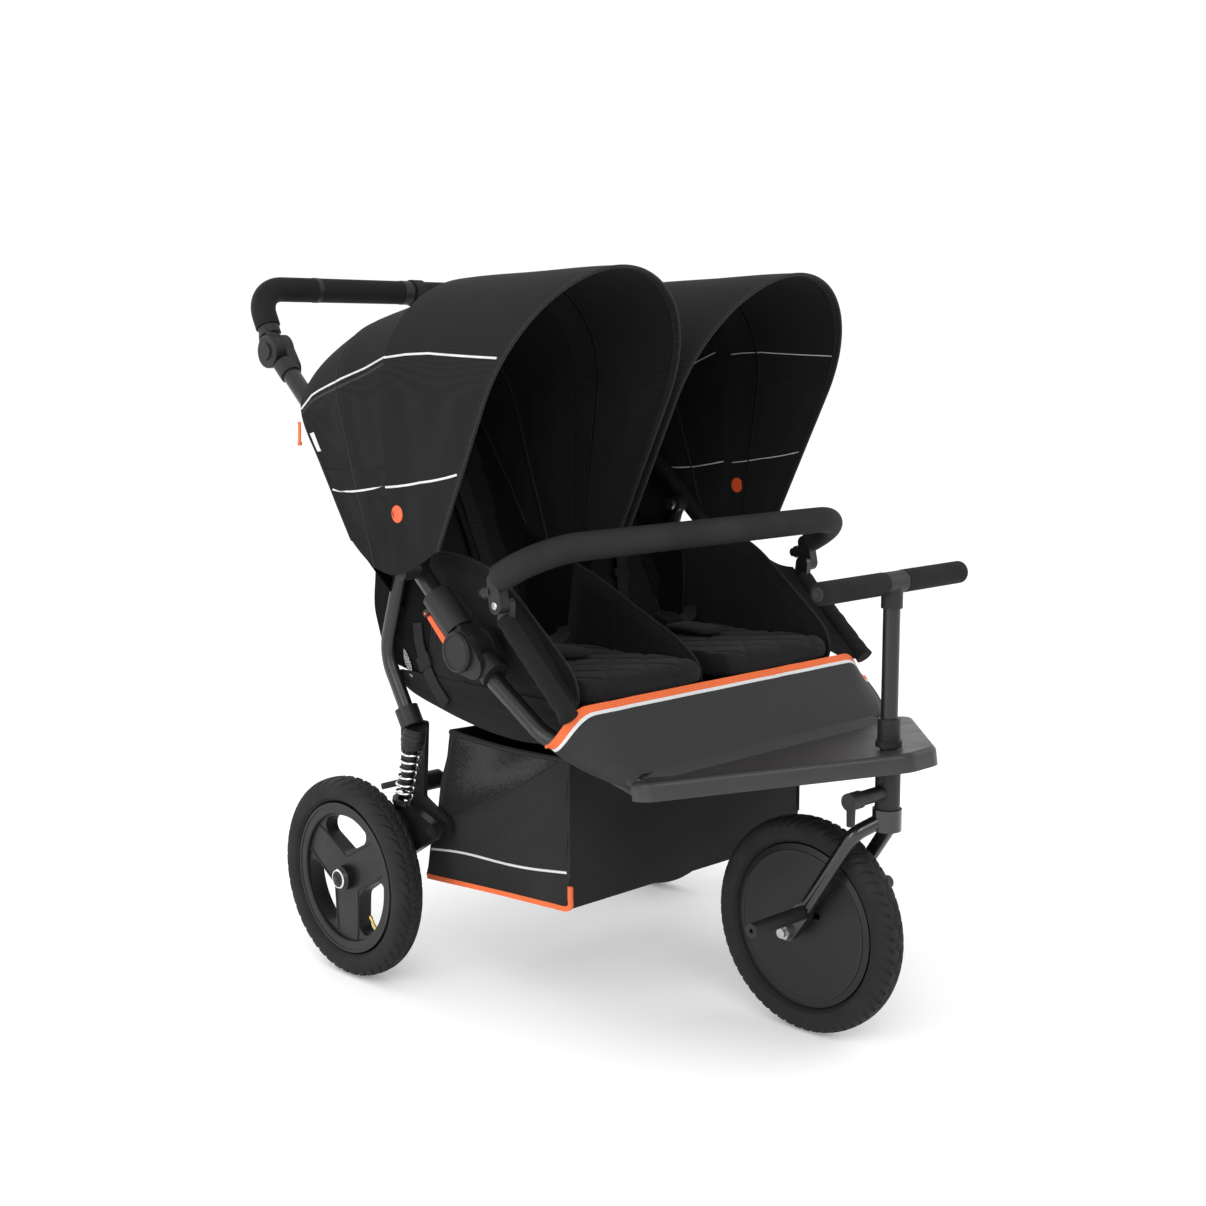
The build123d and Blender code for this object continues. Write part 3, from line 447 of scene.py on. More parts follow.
def lathe(profile, centre, axis=(1, 0, 0), around=48, closed=False):
    """A turned body: profile is a list of (distance along the axis, radius)."""
    axis = Vector(axis).normalized()
    side = axis.orthogonal().normalized()
    other = axis.cross(side)
    places, c = [], Vector(centre)
    for h, r in profile:
        for k in range(around):
            angle = 2 * math.pi * k / around
            places.append(tuple(c + axis * h + (side * math.cos(angle) + other * math.sin(angle)) * max(r,
                    0.01)))
    n = len(profile)
    faces = grid_faces(n, around, wrap_rows=closed, wrap_columns=True)
    if not closed:
        faces += [tuple(range(around - 1, -1, -1)), tuple((n - 1) * around + k for k in range(around))]
    return places, faces


def joined(*parts):
    """Several (places, faces) as one."""
    places, faces = [], []
    for p, f in parts:
        faces += [tuple(i + len(places) for i in face) for face in f]
        places += list(p)
    return places, faces


def stitches(path, pitch, length, thick):
    """A row of sewn stitches: short, low dashes along a path."""
    p = np.array(path, float)
    run = np.concatenate([[0], np.cumsum(np.linalg.norm(np.diff(p, axis=0), axis=1))])
    parts = []
    for k in range(int(run[-1] / pitch)):
        ends = [np.array([np.interp(d, run, p[:, i]) for i in range(3)])
                for d in (k * pitch, k * pitch + length)]
        t = ends[1] - ends[0]
        size = np.linalg.norm(t)
        if size < 0.3 * length:
            continue
        t /= size
        a = np.cross(t, np.array((0.31, 0.55, 0.77)))
        a /= np.linalg.norm(a)
        b = np.cross(t, a)
        middle = (ends[0] + ends[1]) / 2
        ring = [middle + thick * (math.cos(q) * a + math.sin(q) * b)
                for q in (0, math.pi / 2, math.pi, 1.5 * math.pi)]
        places = [tuple(ends[0])] + [tuple(r) for r in ring] + [tuple(ends[1])]
        faces = [(0, 1 + i, 1 + (i + 1) % 4) for i in range(4)] + [(5, 1 + (i + 1) % 4, 1 + i)
                                                                   for i in range(4)]
        parts.append((places, faces))
    return joined(*parts)


def smoothstep(x, low, high):
    t = min(1, max(0, (x - low) / (high - low)))
    return t * t * (3 - 2 * t)


# ---- carried-over CAD nodes --------------------------------------------------------------------
NODE_LOOKS = {
    FRAME_PAINT: ["front_tubes", "handle_tubes", "rear_legs", "tbar_tubes", "bumper_brackets",
                  "handlebar_tube",
                  "suspension_arm_left", "suspension_arm_right"],
    FORK_PAINT: ["front_fork"],
    MOULDED: ["hinge_housings", "hinge_pins", "latch_blocks", "tilt_sockets", "tilt_discs",
              "tilt_button_left",
              "tilt_button_right", "bumper_ends", "bumper_button_left", "bumper_button_right",
              "tbar_fittings",
              "head_tube", "swivel_lock_knob", "rear_subframe", "canopy_hubs", "brake_pedal"],
    TRAY_GREY: ["front_tray"],
    RIM_BLACK: ["rear_rim_left", "rear_rim_right", "front_rim"],
    FOAM_BLACK: ["handle_foam", "tbar_grips"],
    FOAM_BUMPER: ["bumper_foam"],
    ZINC: ["front_axle_and_pegs", "leg_bolts"],
    ORANGE_PLASTIC: ["fold_latch_left", "fold_latch_right"],
}
for look, names in NODE_LOOKS.items():
    for node_name in names:
        node = frame["nodes"][node_name]
        node.data.materials.clear()
        node.data.materials.append(look)

PEG_PLACE = (-663.0, 188.0)
axle_node = frame["nodes"]["front_axle_and_pegs"]
axle_node.data.materials.append(MOULDED)
for face in axle_node.data.polygons:
    y, z = (face.center.y - AXLE_Y) * 1000, face.center.z * 1000
    if math.dist((y, z), PEG_PLACE) < 11 and abs(face.center.x) > 0.0499:
        face.material_index = 1


# ---- wheels ------------------------------------------------------------------------------------
def tread_rear(turn, x):
    """Depth of the groove in a block tread: swept cross grooves and two zigzag rings."""
    cross = (turn * 44 + abs(x) * 0.055) % 1
    ring = abs(abs(x) - 7.5 - 1.6 * math.sin(turn * 44 * 2 * math.pi))
    rib = 1 - smoothstep(ring, 0.9, 1.7)
    cut = (1 - smoothstep(abs(cross - 0.5), 0.10, 0.16)) * smoothstep(abs(x), 5.5, 7.5)
    fine = (1 - smoothstep(abs((turn * 88) % 1 - 0.5), 0.06, 0.12)) * (1 - smoothstep(abs(x), 4.0, 5.0)) * 0.6
    return max(rib, cut, fine)


def tread_front(turn, x):
    """Depth of the groove in a wavy leaf tread."""
    wave = 5.2 * math.sin(turn * 30 * 2 * math.pi)
    vein = 1 - smoothstep(abs(x - wave), 0.8, 1.7)
    phase = (turn * 60 + 0.045 * abs(x)) % 1
    leaf = (1 - smoothstep(abs(phase - 0.5), 0.09, 0.17)) * smoothstep(abs(x), 7.0, 9.0)
    return max(vein, leaf)


def tyre(name, place, x_mid, tread, body, node):
    """A tyre with round shoulders, a raised bead line and a moulded tread."""
    around, section = 660, 60
    half_w, mid_r, half_h = 23.0, (WHEEL_R + RIM_R) / 2, (WHEEL_R - RIM_R) / 2
    places = []
    for i in range(around):
        turn = i / around
        c, s = math.cos(2 * math.pi * turn), math.sin(2 * math.pi * turn)
        for k in range(section):
            angle = 2 * math.pi * k / section
            u, v = math.cos(angle), math.sin(angle)
            x = half_w * math.copysign(abs(u) ** 0.78, u)
            r = mid_r + half_h * math.copysign(abs(v) ** 0.72, v)
            if r > mid_r + 5:
                depth = 2.1 * tread(turn, x) * smoothstep(r, mid_r + 5, mid_r + 12)
                x -= math.copysign(depth * 0.55 * abs(u), x)
                r -= depth * abs(v)
            elif abs(r - (RIM_R + 7.5)) < 1.4:
                x += math.copysign(0.8, x)
            places.append((x_mid + x, place[0] + r * c, place[1] + r * s))
    faces = grid_faces(around, section, wrap_rows=True, wrap_columns=True)
    return piece(name, places, faces, TYRE_BLACK, body, "tyre_black", replaces=[node])


def valve(x, place, angle, radius, body):
    """Brass valve that stands inwards from the rim."""
    base = along(place, angle, radius)
    inward = (0, -math.cos(angle), -math.sin(angle))
    profile = [(0, 4.2), (3, 4.2), (3.2, 3.1), (14, 2.9), (15, 2.4), (26, 2.2), (26.4, 2.9), (31, 2.9),
               (32, 2.2), (32, 0)]
    piece(f"valve_{body}", *lathe(profile, (x, *base), inward, 20), BRASS, body, "steel_bright")


def spoke_ridges(name, x_side, body):
    """The moulded ridges that run along both sides of the three spokes and around the hub."""
    parts = []
    for k in range(3):
        middle = math.radians(90 + 120 * k)
        outline = []
        apex, outer, span = 33.0, 99.0, math.radians(46)
        for turn, r in ((-span, outer), (-span * 0.93, 88), (-span * 0.72, 62), (-span * 0.35, 41), (0, apex),
                        (span * 0.35, 41), (span * 0.72, 62), (span * 0.93, 88), (span, outer)):
            outline.append((x_side, r * math.cos(middle + turn), WHEEL_R + r * math.sin(middle + turn)))
        parts.append(tube(spline(outline, 44), 1.7, 8))
    piece(name, *joined(*parts), RIM_BLACK, body, "rim_black")


SPOKE_FACE = 11.0  # from the middle of the wheel to the faces of its spokes
for side, sign in SIDES:
    wheel = f"rear_wheel_{side}"
    tyre(f"rear_tyre_tread_{side}", (0, WHEEL_R), HALF_TRACK * sign, tread_rear, wheel, f"rear_tyre_{side}")
    spoke_ridges(f"spoke_ridges_{side}", sign * (HALF_TRACK + SPOKE_FACE), wheel)
    spoke_ridges(f"spoke_ridges_inner_{side}", sign * (HALF_TRACK - SPOKE_FACE), wheel)
    ring = [(0, 15.2), (6.2, 15.2), (7.4, 14.2), (7.4, 12.6), (6.2, 12.2), (6.0, 0)]
    piece(f"hub_ring_{side}", *lathe(ring, (sign * (HALF_TRACK + 21.5), 0, WHEEL_R), (sign, 0, 0)), CHROME,
          wheel, "steel_bright")
    cap = [(0, 12.4), (0.8, 12.0), (1.4, 10.0), (1.6, 0)]
    piece(f"hub_cap_{side}", *lathe(cap, (sign * (HALF_TRACK + 27.4), 0, WHEEL_R), (sign, 0, 0)), MOULDED,
          wheel, "moulded_black")
    bars = []
    for k in range(2):
        a = math.radians(45 + 90 * k)
        x = sign * (HALF_TRACK + 29.0)
        ends = [(x, d * math.cos(a), WHEEL_R + d * math.sin(a)) for d in np.linspace(-9, 9, 8)]
        bars.append(tube(ends, 1.5, 8))
    piece(f"hub_cross_{side}", *joined(*bars), MOULDED, wheel, "moulded_black")
    lip = [(-2.0, 113.5), (0.8, 113.2), (1.2, 115.2), (0.9, 117.4), (-2.0, 117.4)]
    for face, out in (("outer", sign), ("inner", -sign)):
        start = HALF_TRACK * sign + out * 17.0
        piece(f"rim_lip_{face}_{side}", *lathe(lip, (start, 0, WHEEL_R), (out, 0, 0), 120, closed=True),
              RIM_BLACK, wheel, "rim_black")
    valve(sign * HALF_TRACK, (0, WHEEL_R), math.radians(-128), 102, wheel)

tyre("front_tyre_tread", FRONT_AXLE, 0.0, tread_front, "front_wheel", "front_tyre")
for out in (1, -1):
    ring = [(-0.8, 105.0), (0.9, 105.6), (0.9, 108.6), (-0.8, 109.4)]
    piece(f"front_disc_ring_{'left' if out > 0 else 'right'}",
          *lathe(ring, (out * 17.6, *FRONT_AXLE), (out, 0, 0), 120, closed=True), RIM_BLACK, "front_wheel",
          "rim_black")


# ---- foam bars and their fittings --------------------------------------------------------------
def bar_band(name, centre, axis, radius, half, material, body, slot):
    profile = [(-half, radius - 0.6), (-half + 0.6, radius + 0.7), (half - 0.6, radius + 0.7),
               (half, radius - 0.6)]
    piece(name, *lathe(profile, centre, axis, 48), material, body, slot)


for side, sign in SIDES:
    bar_band(f"handle_band_{side}", (sign * 205, *HANDLE), (1, 0, 0), 19.5, 5.0, MOULDED, "handle",
             "moulded_black")
bar_band("handle_band_middle", (-24, *HANDLE), (1, 0, 0), 19.5, 9.0, MOULDED, "handle", "moulded_black")


def screw_head(name, centre, axis, radius, body):
    """A dished pan-head screw with a cross recess."""
    axis = Vector(axis).normalized()
    side = axis.orthogonal().normalized()
    other = axis.cross(side)
    head = lathe([(0, radius), (radius * 0.25, radius * 0.95), (radius * 0.45, radius * 0.6),
                  (radius * 0.5, 0)], centre, axis, 24)
    parts = [head]
    for arm in (side, other):
        top = Vector(centre) + axis * (radius * 0.5)
        parts.append(tube([tuple(top + arm * d) for d in (-radius * 0.55, 0, radius * 0.55)], radius * 0.12,
                          6))
    piece(name, *joined(*parts), ZINC, body, "steel_bright")


BUMPER_PIVOT = joint_place("bumper_swing")
TBAR_Z = 658.0
for side, sign in SIDES:
    screw_head(f"bumper_screw_{side}", (sign * 342.0, *BUMPER_PIVOT), (sign, 0, 0), 5.5, "bumper")
    grip_end = [(0, 9.5), (1.2, 9.0), (1.6, 6.5), (0.7, 5.6), (0.7, 3.2), (1.4, 2.8), (1.4, 0)]
    piece(f"grip_end_{side}", *lathe(grip_end, (sign * 156.6, HEAD_Y, TBAR_Z), (sign, 0, 0), 36), MOULDED,
          "front_frame", "moulded_black")
    cap_ring = [(-0.5, 27.0), (1.4, 26.6), (1.9, 24.6), (0.7, 23.4), (-0.5, 23.0)]
    piece(f"hinge_cap_ring_{side}", *lathe(cap_ring, (sign * (SIDE_X + 31.8), *FOLD), (sign, 0, 0), 64,
                                           closed=True),
          MOULDED, "front_frame", "moulded_black")
screw_head("collar_screw", (19.2, HEAD_Y, 448.0), (1, 0, 0), 3.6, "front_frame")

# ---- springs -----------------------------------------------------------------------------------
SPRING_TOP, SPRING_FOOT = (-105.0, 373.0), (-81.0, 287.0)
SPRING_LENGTH = math.dist(SPRING_TOP, SPRING_FOOT)
SPRING_SLOPE = math.atan2(SPRING_FOOT[1] - SPRING_TOP[1], SPRING_FOOT[0] - SPRING_TOP[0])
SPRING_AXIS = (0, math.cos(SPRING_SLOPE), math.sin(SPRING_SLOPE))
for side, sign in SIDES:
    turns, wire, radius = 6.5, 2.1, 14.0
    coil = []
    for i in range(int(turns * 28) + 1):
        a = 2 * math.pi * i / 28
        t = i / (turns * 28)
        y, z = along(SPRING_TOP, SPRING_SLOPE, wire + 0.4 + t * (SPRING_LENGTH - 2 * wire - 0.8),
                     radius * math.cos(a))
        coil.append((sign * LEG_X + radius * math.sin(a), y, z))
    spring = piece(f"coil_spring_{side}", *tube(coil, wire, 10), CHROME, "rear_legs", "spring_chrome")
    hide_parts("suspension_springs")
    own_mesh(spring)
    ribs = []
    for k in range(9):
        ribs += [(2 + k * 7.5, 8.2), (4 + k * 7.5, 9.4), (7 + k * 7.5, 9.4), (9 + k * 7.5, 8.2)]
    piece(f"damper_bellows_{side}", *lathe(ribs, (sign * LEG_X, *SPRING_TOP), SPRING_AXIS, 28),
          MOULDED, "rear_legs", "moulded_black")
    collar = [(0, 17.6), (1.5, 19.2), (6, 19.4), (9, 18.4), (10, 18.0)]
    piece(f"spring_collar_{side}", *lathe(collar, (sign * LEG_X, *along(SPRING_TOP, SPRING_SLOPE, -14)),
                                          SPRING_AXIS, 40),
          MOULDED, "rear_legs", "moulded_black")
    for k, d in enumerate((-27, -20)):
        bar_band(f"socket_rib_{side}_{k}", (sign * LEG_X, *along(SPRING_TOP, SPRING_SLOPE, d)), SPRING_AXIS,
                 18.0, 2.2,
                 MOULDED, "rear_legs", "moulded_black")


# ---- canopies ----------------------------------------------------------------------------------
CANOPY_X = 186.5
SEAT_INNER, SEAT_OUTER = 24.0, 268.0
VISOR_HALF, HOOD_HALF = 178.0, 173.0


def crest(degrees, reach):
    return along(CANOPY_PIVOT, math.radians(degrees), reach)


HOOD_BOWS = (((-60.0, 687.0), crest(46, 406), 126.0), ((-112.0, 652.0), crest(63, 410), 146.0),
             ((-165.0, 645.0), crest(91, 410), 160.0))
VISOR_BOWS = (((-158.0, 645.0), crest(86, 419), 162.0), ((-205.0, 657.0), crest(107, 445), 184.0),
              ((-266.0, 688.0), crest(124, 513), 205.0))


def blend_bows(bows, u):
    """A bow between the given ones, by the parabola through all three."""
    w = ((1 - u) * (1 - 2 * u), 4 * u * (1 - u), u * (2 * u - 1))
    base = tuple(sum(k * b[0][i] for k, b in zip(w, bows)) for i in (0, 1))
    top = tuple(sum(k * b[1][i] for k, b in zip(w, bows)) for i in (0, 1))
    return base, top, sum(k * b[2] for k, b in zip(w, bows))


def bow_place(bow, half, t, inset=0.0, square=1.0):
    """Place on a bow: t runs from the foot of its outer side (0) over the crest to its inner side (1)."""
    base, top, arch = bow
    reach = math.dist(base, top)
    slope = math.atan2(top[1] - base[1], top[0] - base[0])
    straight = reach - arch
    share = straight / (2 * straight + 1.55 * (half + arch))
    if t < share:
        across, up = half - inset, straight * t / share
    elif t > 1 - share:
        across, up = -(half - inset), straight * (1 - t) / share
    else:
        a = math.pi * (t - share) / (1 - 2 * share)
        c, q = math.cos(a), math.sin(a)
        across = (half - inset) * math.copysign(abs(c) ** square, c)
        up = straight + (arch - inset) * abs(q) ** square
    y, z = along(base, slope, up)
    return (CANOPY_X + across, y, z)


def wrinkle(u, t, seed, size):
    """Soft diagonal gathers, the same every time."""
    value = 0.0
    for k in range(5):
        a = seed + 1.7 * k
        value += (math.sin((6 + 3 * k) * u + (17 + 5 * k) * t + a * 5)
                  * math.sin((3 + k) * t * 4 + a) / (1 + k))
    return size * value


def hood_place(u, t, lift=0.0):
    """u runs from the rear bow (0) to the middle bow (1)."""
    bow = blend_bows(HOOD_BOWS, u)
    hug = math.sin(math.pi * min(1, u / 0.55)) if u < 0.55 else math.sin(math.pi * (u - 0.55) / 0.45)
    sag = 3.2 * abs(hug) * (0.35 + 0.65 * math.sin(math.pi * t))
    sag += wrinkle(u, t, 2.0, 1.1) * (1 - 0.8 * u) + 1.2
    return bow_place(bow, HOOD_HALF, t, max(0.2, sag) - lift, 0.8 + 0.2 * smoothstep(u, 0, 0.8))


def visor_place(u, t, lift=0.0):
    """u runs from the rear edge over the hood (0) to the front edge (1)."""
    bow = blend_bows(VISOR_BOWS, u)
    sag = 3.0 * math.sin(math.pi * u) ** 2 * (0.3 + 0.7 * math.sin(math.pi * t)) + wrinkle(u, t, 4.1, 0.25)
    return bow_place(bow, VISOR_HALF, t, max(0.0, sag) - lift)


def surface(place, u_values, t_values, sign, lift=0.0):
    grid = [[place(u, t, lift) for t in t_values] for u in u_values]
    return [[(sign * x, y, z) for x, y, z in row] for row in grid]


def trace(place, points, count, sign, lift):
    """A smooth line on a canopy through (u, t) places."""
    p = np.array(points, float)
    k = np.linspace(0, len(p) - 1, count)
    us, ts = np.interp(k, range(len(p)), p[:, 0]), np.interp(k, range(len(p)), p[:, 1])
    line = [place(u, t, lift) for u, t in zip(us, ts)]
    return [(sign * x, y, z) for x, y, z in line]


def backrest_rim(t):
    """Place on the edge of the back cushion: up its outer side, across its top and down its inner side."""
    y0, z0 = -86.0, 545.0
    run = t * 3
    outer, inner = SEAT_OUTER - 12, SEAT_INNER + 14
    if run < 1.15:
        s = run / 1.15
        return (outer, y0 + 152 * s, z0 + 286 * s)
    if run > 1.85:
        s = (3 - run) / 1.15
        return (inner, y0 + 152 * s, z0 + 286 * s)
    s = (run - 1.15) / 0.7
    return (outer + (inner - outer) * s, 66 + 8 * math.sin(math.pi * s), 831 + 10 * math.sin(math.pi * s))


def curtain_place(w, t):
    """From the back cushion's edge (w = 0) to the hood's rear bow (w = 1)."""
    a, b = Vector(backrest_rim(t)), Vector(hood_place(0.0, t, -1.6))
    sag = math.sin(math.pi * w)
    return tuple(a.lerp(b, w) + Vector((0, 3 * sag + 2 * sag * math.sin(40 * t), -1.5 * sag)))


EDGE_T = np.linspace(0, 1, 121)
# pitch, length and half thickness of the sewing thread
SEAM_STITCH, LINING_STITCH = (4.5, 3.0, 0.42), (4.5, 3.2, 0.5)


def seam_row(place, u, sign, lift):
    """A row of stitches right across a hood or a visor."""
    path = trace(place, [(u, t) for t in np.linspace(0.01, 0.99, 61)], 400, sign, lift)
    return stitches(path, *SEAM_STITCH)


for side, sign in SIDES:
    hood_body, visor_body = "handle_frame", f"visor_{side}"
    grid = surface(hood_place, np.linspace(0, 1, 64), EDGE_T, sign)
    cloth_piece(f"hood_cloth_{side}", grid, 1.3, CLOTH_BLACK, hood_body, "cloth_black",
                [f"canopy_hood_{side}"], inward=-sign)
    grid = surface(visor_place, np.linspace(0, 1, 60), EDGE_T, sign)
    cloth_piece(f"visor_cloth_{side}", grid, 1.3, CLOTH_BLACK, visor_body, "cloth_black",
                [f"canopy_visor_{side}"], inward=-sign)
    # the curtain is in the darker copy of the black cloth: painted shade behind the back cushion
    grid = surface(lambda w, t, lift: curtain_place(w, t), np.linspace(0, 1, 20), np.linspace(0.0, 1, 111),
                   sign)
    curtain = cloth_piece(f"hood_curtain_{side}", grid, 1.3, CLOTH_PAINTED_SHADE, None, "cloth_black",
                          inward=sign)
    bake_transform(curtain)
    # edge binding, a folded tape over a rim, with two rows of stitches
    edge = surface(visor_place, [1.0, 0.985, 0.97, 0.955], EDGE_T, sign, 0.8)
    places, faces = shell(edge, 2.6, -sign)
    piece(f"visor_binding_{side}", places, faces, BINDING, visor_body, "webbing_black")
    rim = trace(visor_place, [(1.0, t) for t in np.linspace(0, 1, 61)], 240, sign, -0.6)
    piece(f"visor_rim_{side}", *tube(rim, 2.6, 10), BINDING, visor_body, "webbing_black")
    # two rows in the binding and two in the visor's rear hem
    rows = [seam_row(visor_place, u, sign, lift)
            for u, lift in ((0.962, 1.25), (0.976, 1.25), (0.03, 0.35), (0.09, 0.35))]
    piece(f"visor_stitches_{side}", *joined(*rows), STITCH, visor_body, "webbing_black")
    rows = []
    for u in (0.3, 0.34):
        path = trace(visor_place, [(u, t) for t in np.linspace(0.04, 0.96, 61)], 300, sign, -2.0)
        rows.append(stitches(path, *LINING_STITCH))
    piece(f"visor_lining_stitches_{side}", *joined(*rows), STITCH, visor_body, "webbing_black")
    # the bow sleeve is in the darker copy of the black cloth: painted shade under the visor
    sleeve = trace(visor_place, [(0.32, t) for t in np.linspace(0.02, 0.98, 61)], 200, sign, -1.2)
    piece(f"visor_bow_sleeve_{side}", *tube(sleeve, 1.4, 8), CLOTH_PAINTED_SHADE, visor_body, "cloth_black")
    stud_place = Vector(trace(visor_place, [(0.83, 0.5), (0.83, 0.5)], 2, sign, -2.0)[0])
    tape = trace(visor_place, [(0.94, 0.5), (0.88, 0.5), (0.80, 0.5)], 16, sign, -2.4)
    piece(f"visor_tape_{side}", *strap(tape, 9.0, 1.2, (1, 0, 0)), WEBBING, visor_body, "webbing_black")
    cap = [(0, 5.0), (1.2, 4.8), (1.6, 3.6), (1.1, 2.6), (1.1, 0)]
    stud_axis = (0, 0.25, -0.97)
    piece(f"visor_stud_{side}", *lathe(cap, tuple(stud_place + Vector(stud_axis) * 1.2), stud_axis, 24),
          ZINC, visor_body, "steel_bright")
    rows = [seam_row(hood_place, u, sign, 0.35) for u in (0.02, 0.47, 0.55)]
    piece(f"hood_stitches_{side}", *joined(*rows), STITCH, hood_body, "webbing_black")
    seam = trace(hood_place, [(0.51, t) for t in np.linspace(0, 1, 61)], 240, sign, 0.4)
    rear_rim = trace(hood_place, [(0.0, t) for t in np.linspace(0, 1, 61)], 240, sign, 0.2)
    piece(f"hood_bow_sleeves_{side}", *joined(tube(seam, 2.0, 10), tube(rear_rim, 2.4, 10)), BINDING,
          hood_body, "webbing_black")


# ---- seats -------------------------------------------------------------------------------------
SEAT_MID = (SEAT_INNER + SEAT_OUTER) / 2
SEAT_HALF = (SEAT_OUTER - SEAT_INNER) / 2


def pillow(outline, x_mid, half, crown, rows=26, edge=5.0):
    """A closed pad whose side profile is a ring of (y, z); it thins towards both sides."""
    p = np.array(outline, float)
    centre = p.mean(0)
    ring = spline([(0, *q) for q in p], 72, closed=True)[:, 1:]
    places = []
    for i in range(rows):
        u = -1 + 2 * i / (rows - 1)
        u = math.copysign(abs(u) ** 0.7, u)
        shrink = edge * (abs(u) ** 8)
        for y, z in ring:
            out = np.array((y, z)) - centre
            size = max(1e-6, float(np.linalg.norm(out)))
            keep = max(0.0, size - shrink - crown * abs(u) ** 3 * 0.5) / size
            places.append((x_mid + half * u, centre[0] + out[0] * keep, centre[1] + out[1] * keep))
    faces = grid_faces(rows, 72, wrap_columns=True)
    faces += [tuple(range(71, -1, -1)), tuple((rows - 1) * 72 + k for k in range(72))]
    return places, faces


def quilted_top(obj, lines, depth, width, normal, axis_fn):
    """Press sewn channels into a pad, on the side that its normal points from."""
    normal = Vector(normal)
    for v in obj.data.vertices:
        x = v.co.x * 1000
        y, z = (v.co.y - AXLE_Y) * 1000, v.co.z * 1000
        press = max(math.exp(-((axis_fn(line, x, y, z)) / width) ** 2) for line in lines)
        facing = max(0.0, v.normal.dot(normal))
        v.co -= normal * (depth / 1000 * press * smoothstep(facing, 0.35, 0.8))
    obj.data.update()


def soften(obj, levels=1):
    """One subdivision, kept in the mesh."""
    bpy.context.view_layer.objects.active = obj
    modifier = obj.modifiers.new("soft", "SUBSURF")
    modifier.levels = levels
    bpy.ops.object.modifier_apply(modifier=modifier.name)
    obj.data.shade_smooth()


def copy_mirrored(obj, name, body, replaces=()):
    """A mirrored copy of a finished mesh on another body."""
    mesh = obj.data.copy()
    mesh.name = name
    mesh.transform(Matrix.Diagonal((-1, 1, 1, 1)))
    mesh.flip_normals()
    twin = bpy.data.objects.new(name, mesh)
    bpy.context.scene.collection.objects.link(twin)
    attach(twin, body)
    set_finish(twin, obj["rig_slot"])
    if replaces:
        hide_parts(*replaces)
    return twin


# seat cushions: crowned, with a waterfall front and crossing channels
SEAT_LINE = [(-463, 497), (-458, 511), (-440, 517), (-380, 516), (-300, 514), (-200, 511), (-136, 506),
             (-132, 490),
             (-136, 474), (-200, 471), (-300, 473), (-400, 477), (-455, 483)]
places, faces = pillow(SEAT_LINE, SEAT_MID, SEAT_HALF - 3, 6.0)
seat = piece("seat_cushion_left", places, faces, CLOTH_PAD, None, "cloth_black")
soften(seat)
DIAGONALS = [(s, k) for s in (1, -1) for k in np.arange(-900, 900, 74)]


def diagonal_distance(line, x, y, z):
    s, k = line
    return (s * (x - SEAT_MID) + y - k) / 1.414


quilted_top(seat, DIAGONALS, 2.6, 4.0, (0, 0, 1), diagonal_distance)
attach(seat, "front_frame")
seat_right = copy_mirrored(seat, "seat_cushion_right", "front_frame")
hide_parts("seat_pads")
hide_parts("seat_pads")

# back cushions: long upholstered pads with side bolsters and a head part
BACK_FOOT, BACK_TOP = (-106.0, 502.0), (60.0, 850.0)
BACK_SLOPE = math.atan2(BACK_TOP[1] - BACK_FOOT[1], BACK_TOP[0] - BACK_FOOT[0])
BACK_LINE = [along(BACK_FOOT, BACK_SLOPE, d, o) for d, o in
             ((6, -16), (12, -3), (90, -2), (190, -2), (290, -2), (365, -4), (380, -16), (365, -28),
              (290, -30),
              (190, -30), (90, -30), (12, -28))]
places, faces = pillow(BACK_LINE, SEAT_MID, SEAT_HALF - 3, 4.0)
back = piece("back_cushion_left", places, faces, CLOTH_PAD, None, "cloth_black")
soften(back)
BACK_NORMAL = (0, -math.sin(BACK_SLOPE), math.cos(BACK_SLOPE))


def back_distance(line, x, y, z):
    kind, value = line
    if kind == "across":
        return (y - BACK_FOOT[0]) * math.cos(BACK_SLOPE) + (z - BACK_FOOT[1]) * math.sin(BACK_SLOPE) - value
    return abs(x - SEAT_MID) - value


quilted_top(back, [("across", 105), ("across", 215), ("across", 300), ("side", 82)], 4.0, 5.0, BACK_NORMAL,
            back_distance)
quilted_top(back, [("across", 40), ("across", 320), ("side", 60)], 2.0, 4.0, [-c for c in BACK_NORMAL],
            back_distance)
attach(back, "backrest_left")
back_right = copy_mirrored(back, "back_cushion_right", "backrest_right", ["backrest_right"])
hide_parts("backrest_left")


# fabric shell behind each back cushion, and the curtain that closes the gap up to the canopy
SHELL_LINE = [(-58.0, 472.0), (-34.0, 486.0), (-12.0, 506.0), (6.0, 551.0), (36.0, 640.0), (60.0, 690.0),
              (84.0, 740.0),
              (98.0, 800.0), (92.0, 842.0)]
shell_line = spline([(0, *q) for q in SHELL_LINE], 60)[:, 1:]


def back_shell_place(i, j, columns):
    y, z = shell_line[i]
    u = -1 + 2 * j / (columns - 1)
    wrap = smoothstep(abs(u), 0.84, 1.0)
    front = along(BACK_FOOT, BACK_SLOPE, max(4, (z - BACK_FOOT[1]) * 1.08), -24)
    y = y + (front[0] - y) * wrap + 1.2 * math.sin(5 * u + i / 6.0)
    z = z + (front[1] - z) * wrap * 0.4
    return (SEAT_MID + u * (SEAT_HALF + 1.5), y - 8 * (u * u) * (1 - wrap), z)


for side, sign in SIDES:
    grid = [[back_shell_place(i, j, 45) for j in range(45)] for i in range(60)]
    grid = [[(sign * x, y, z) for x, y, z in row] for row in grid]
    cloth_piece(f"back_shell_{side}", grid, 1.5, CLOTH_BLACK, f"backrest_{side}", "cloth_black",
                inward=sign)


# harness: shoulder pads, webbing, crotch strap and buckle
def lying_on_back(d, offset, x):
    y, z = along(BACK_FOOT, BACK_SLOPE, d, offset)
    return (x, y, z)


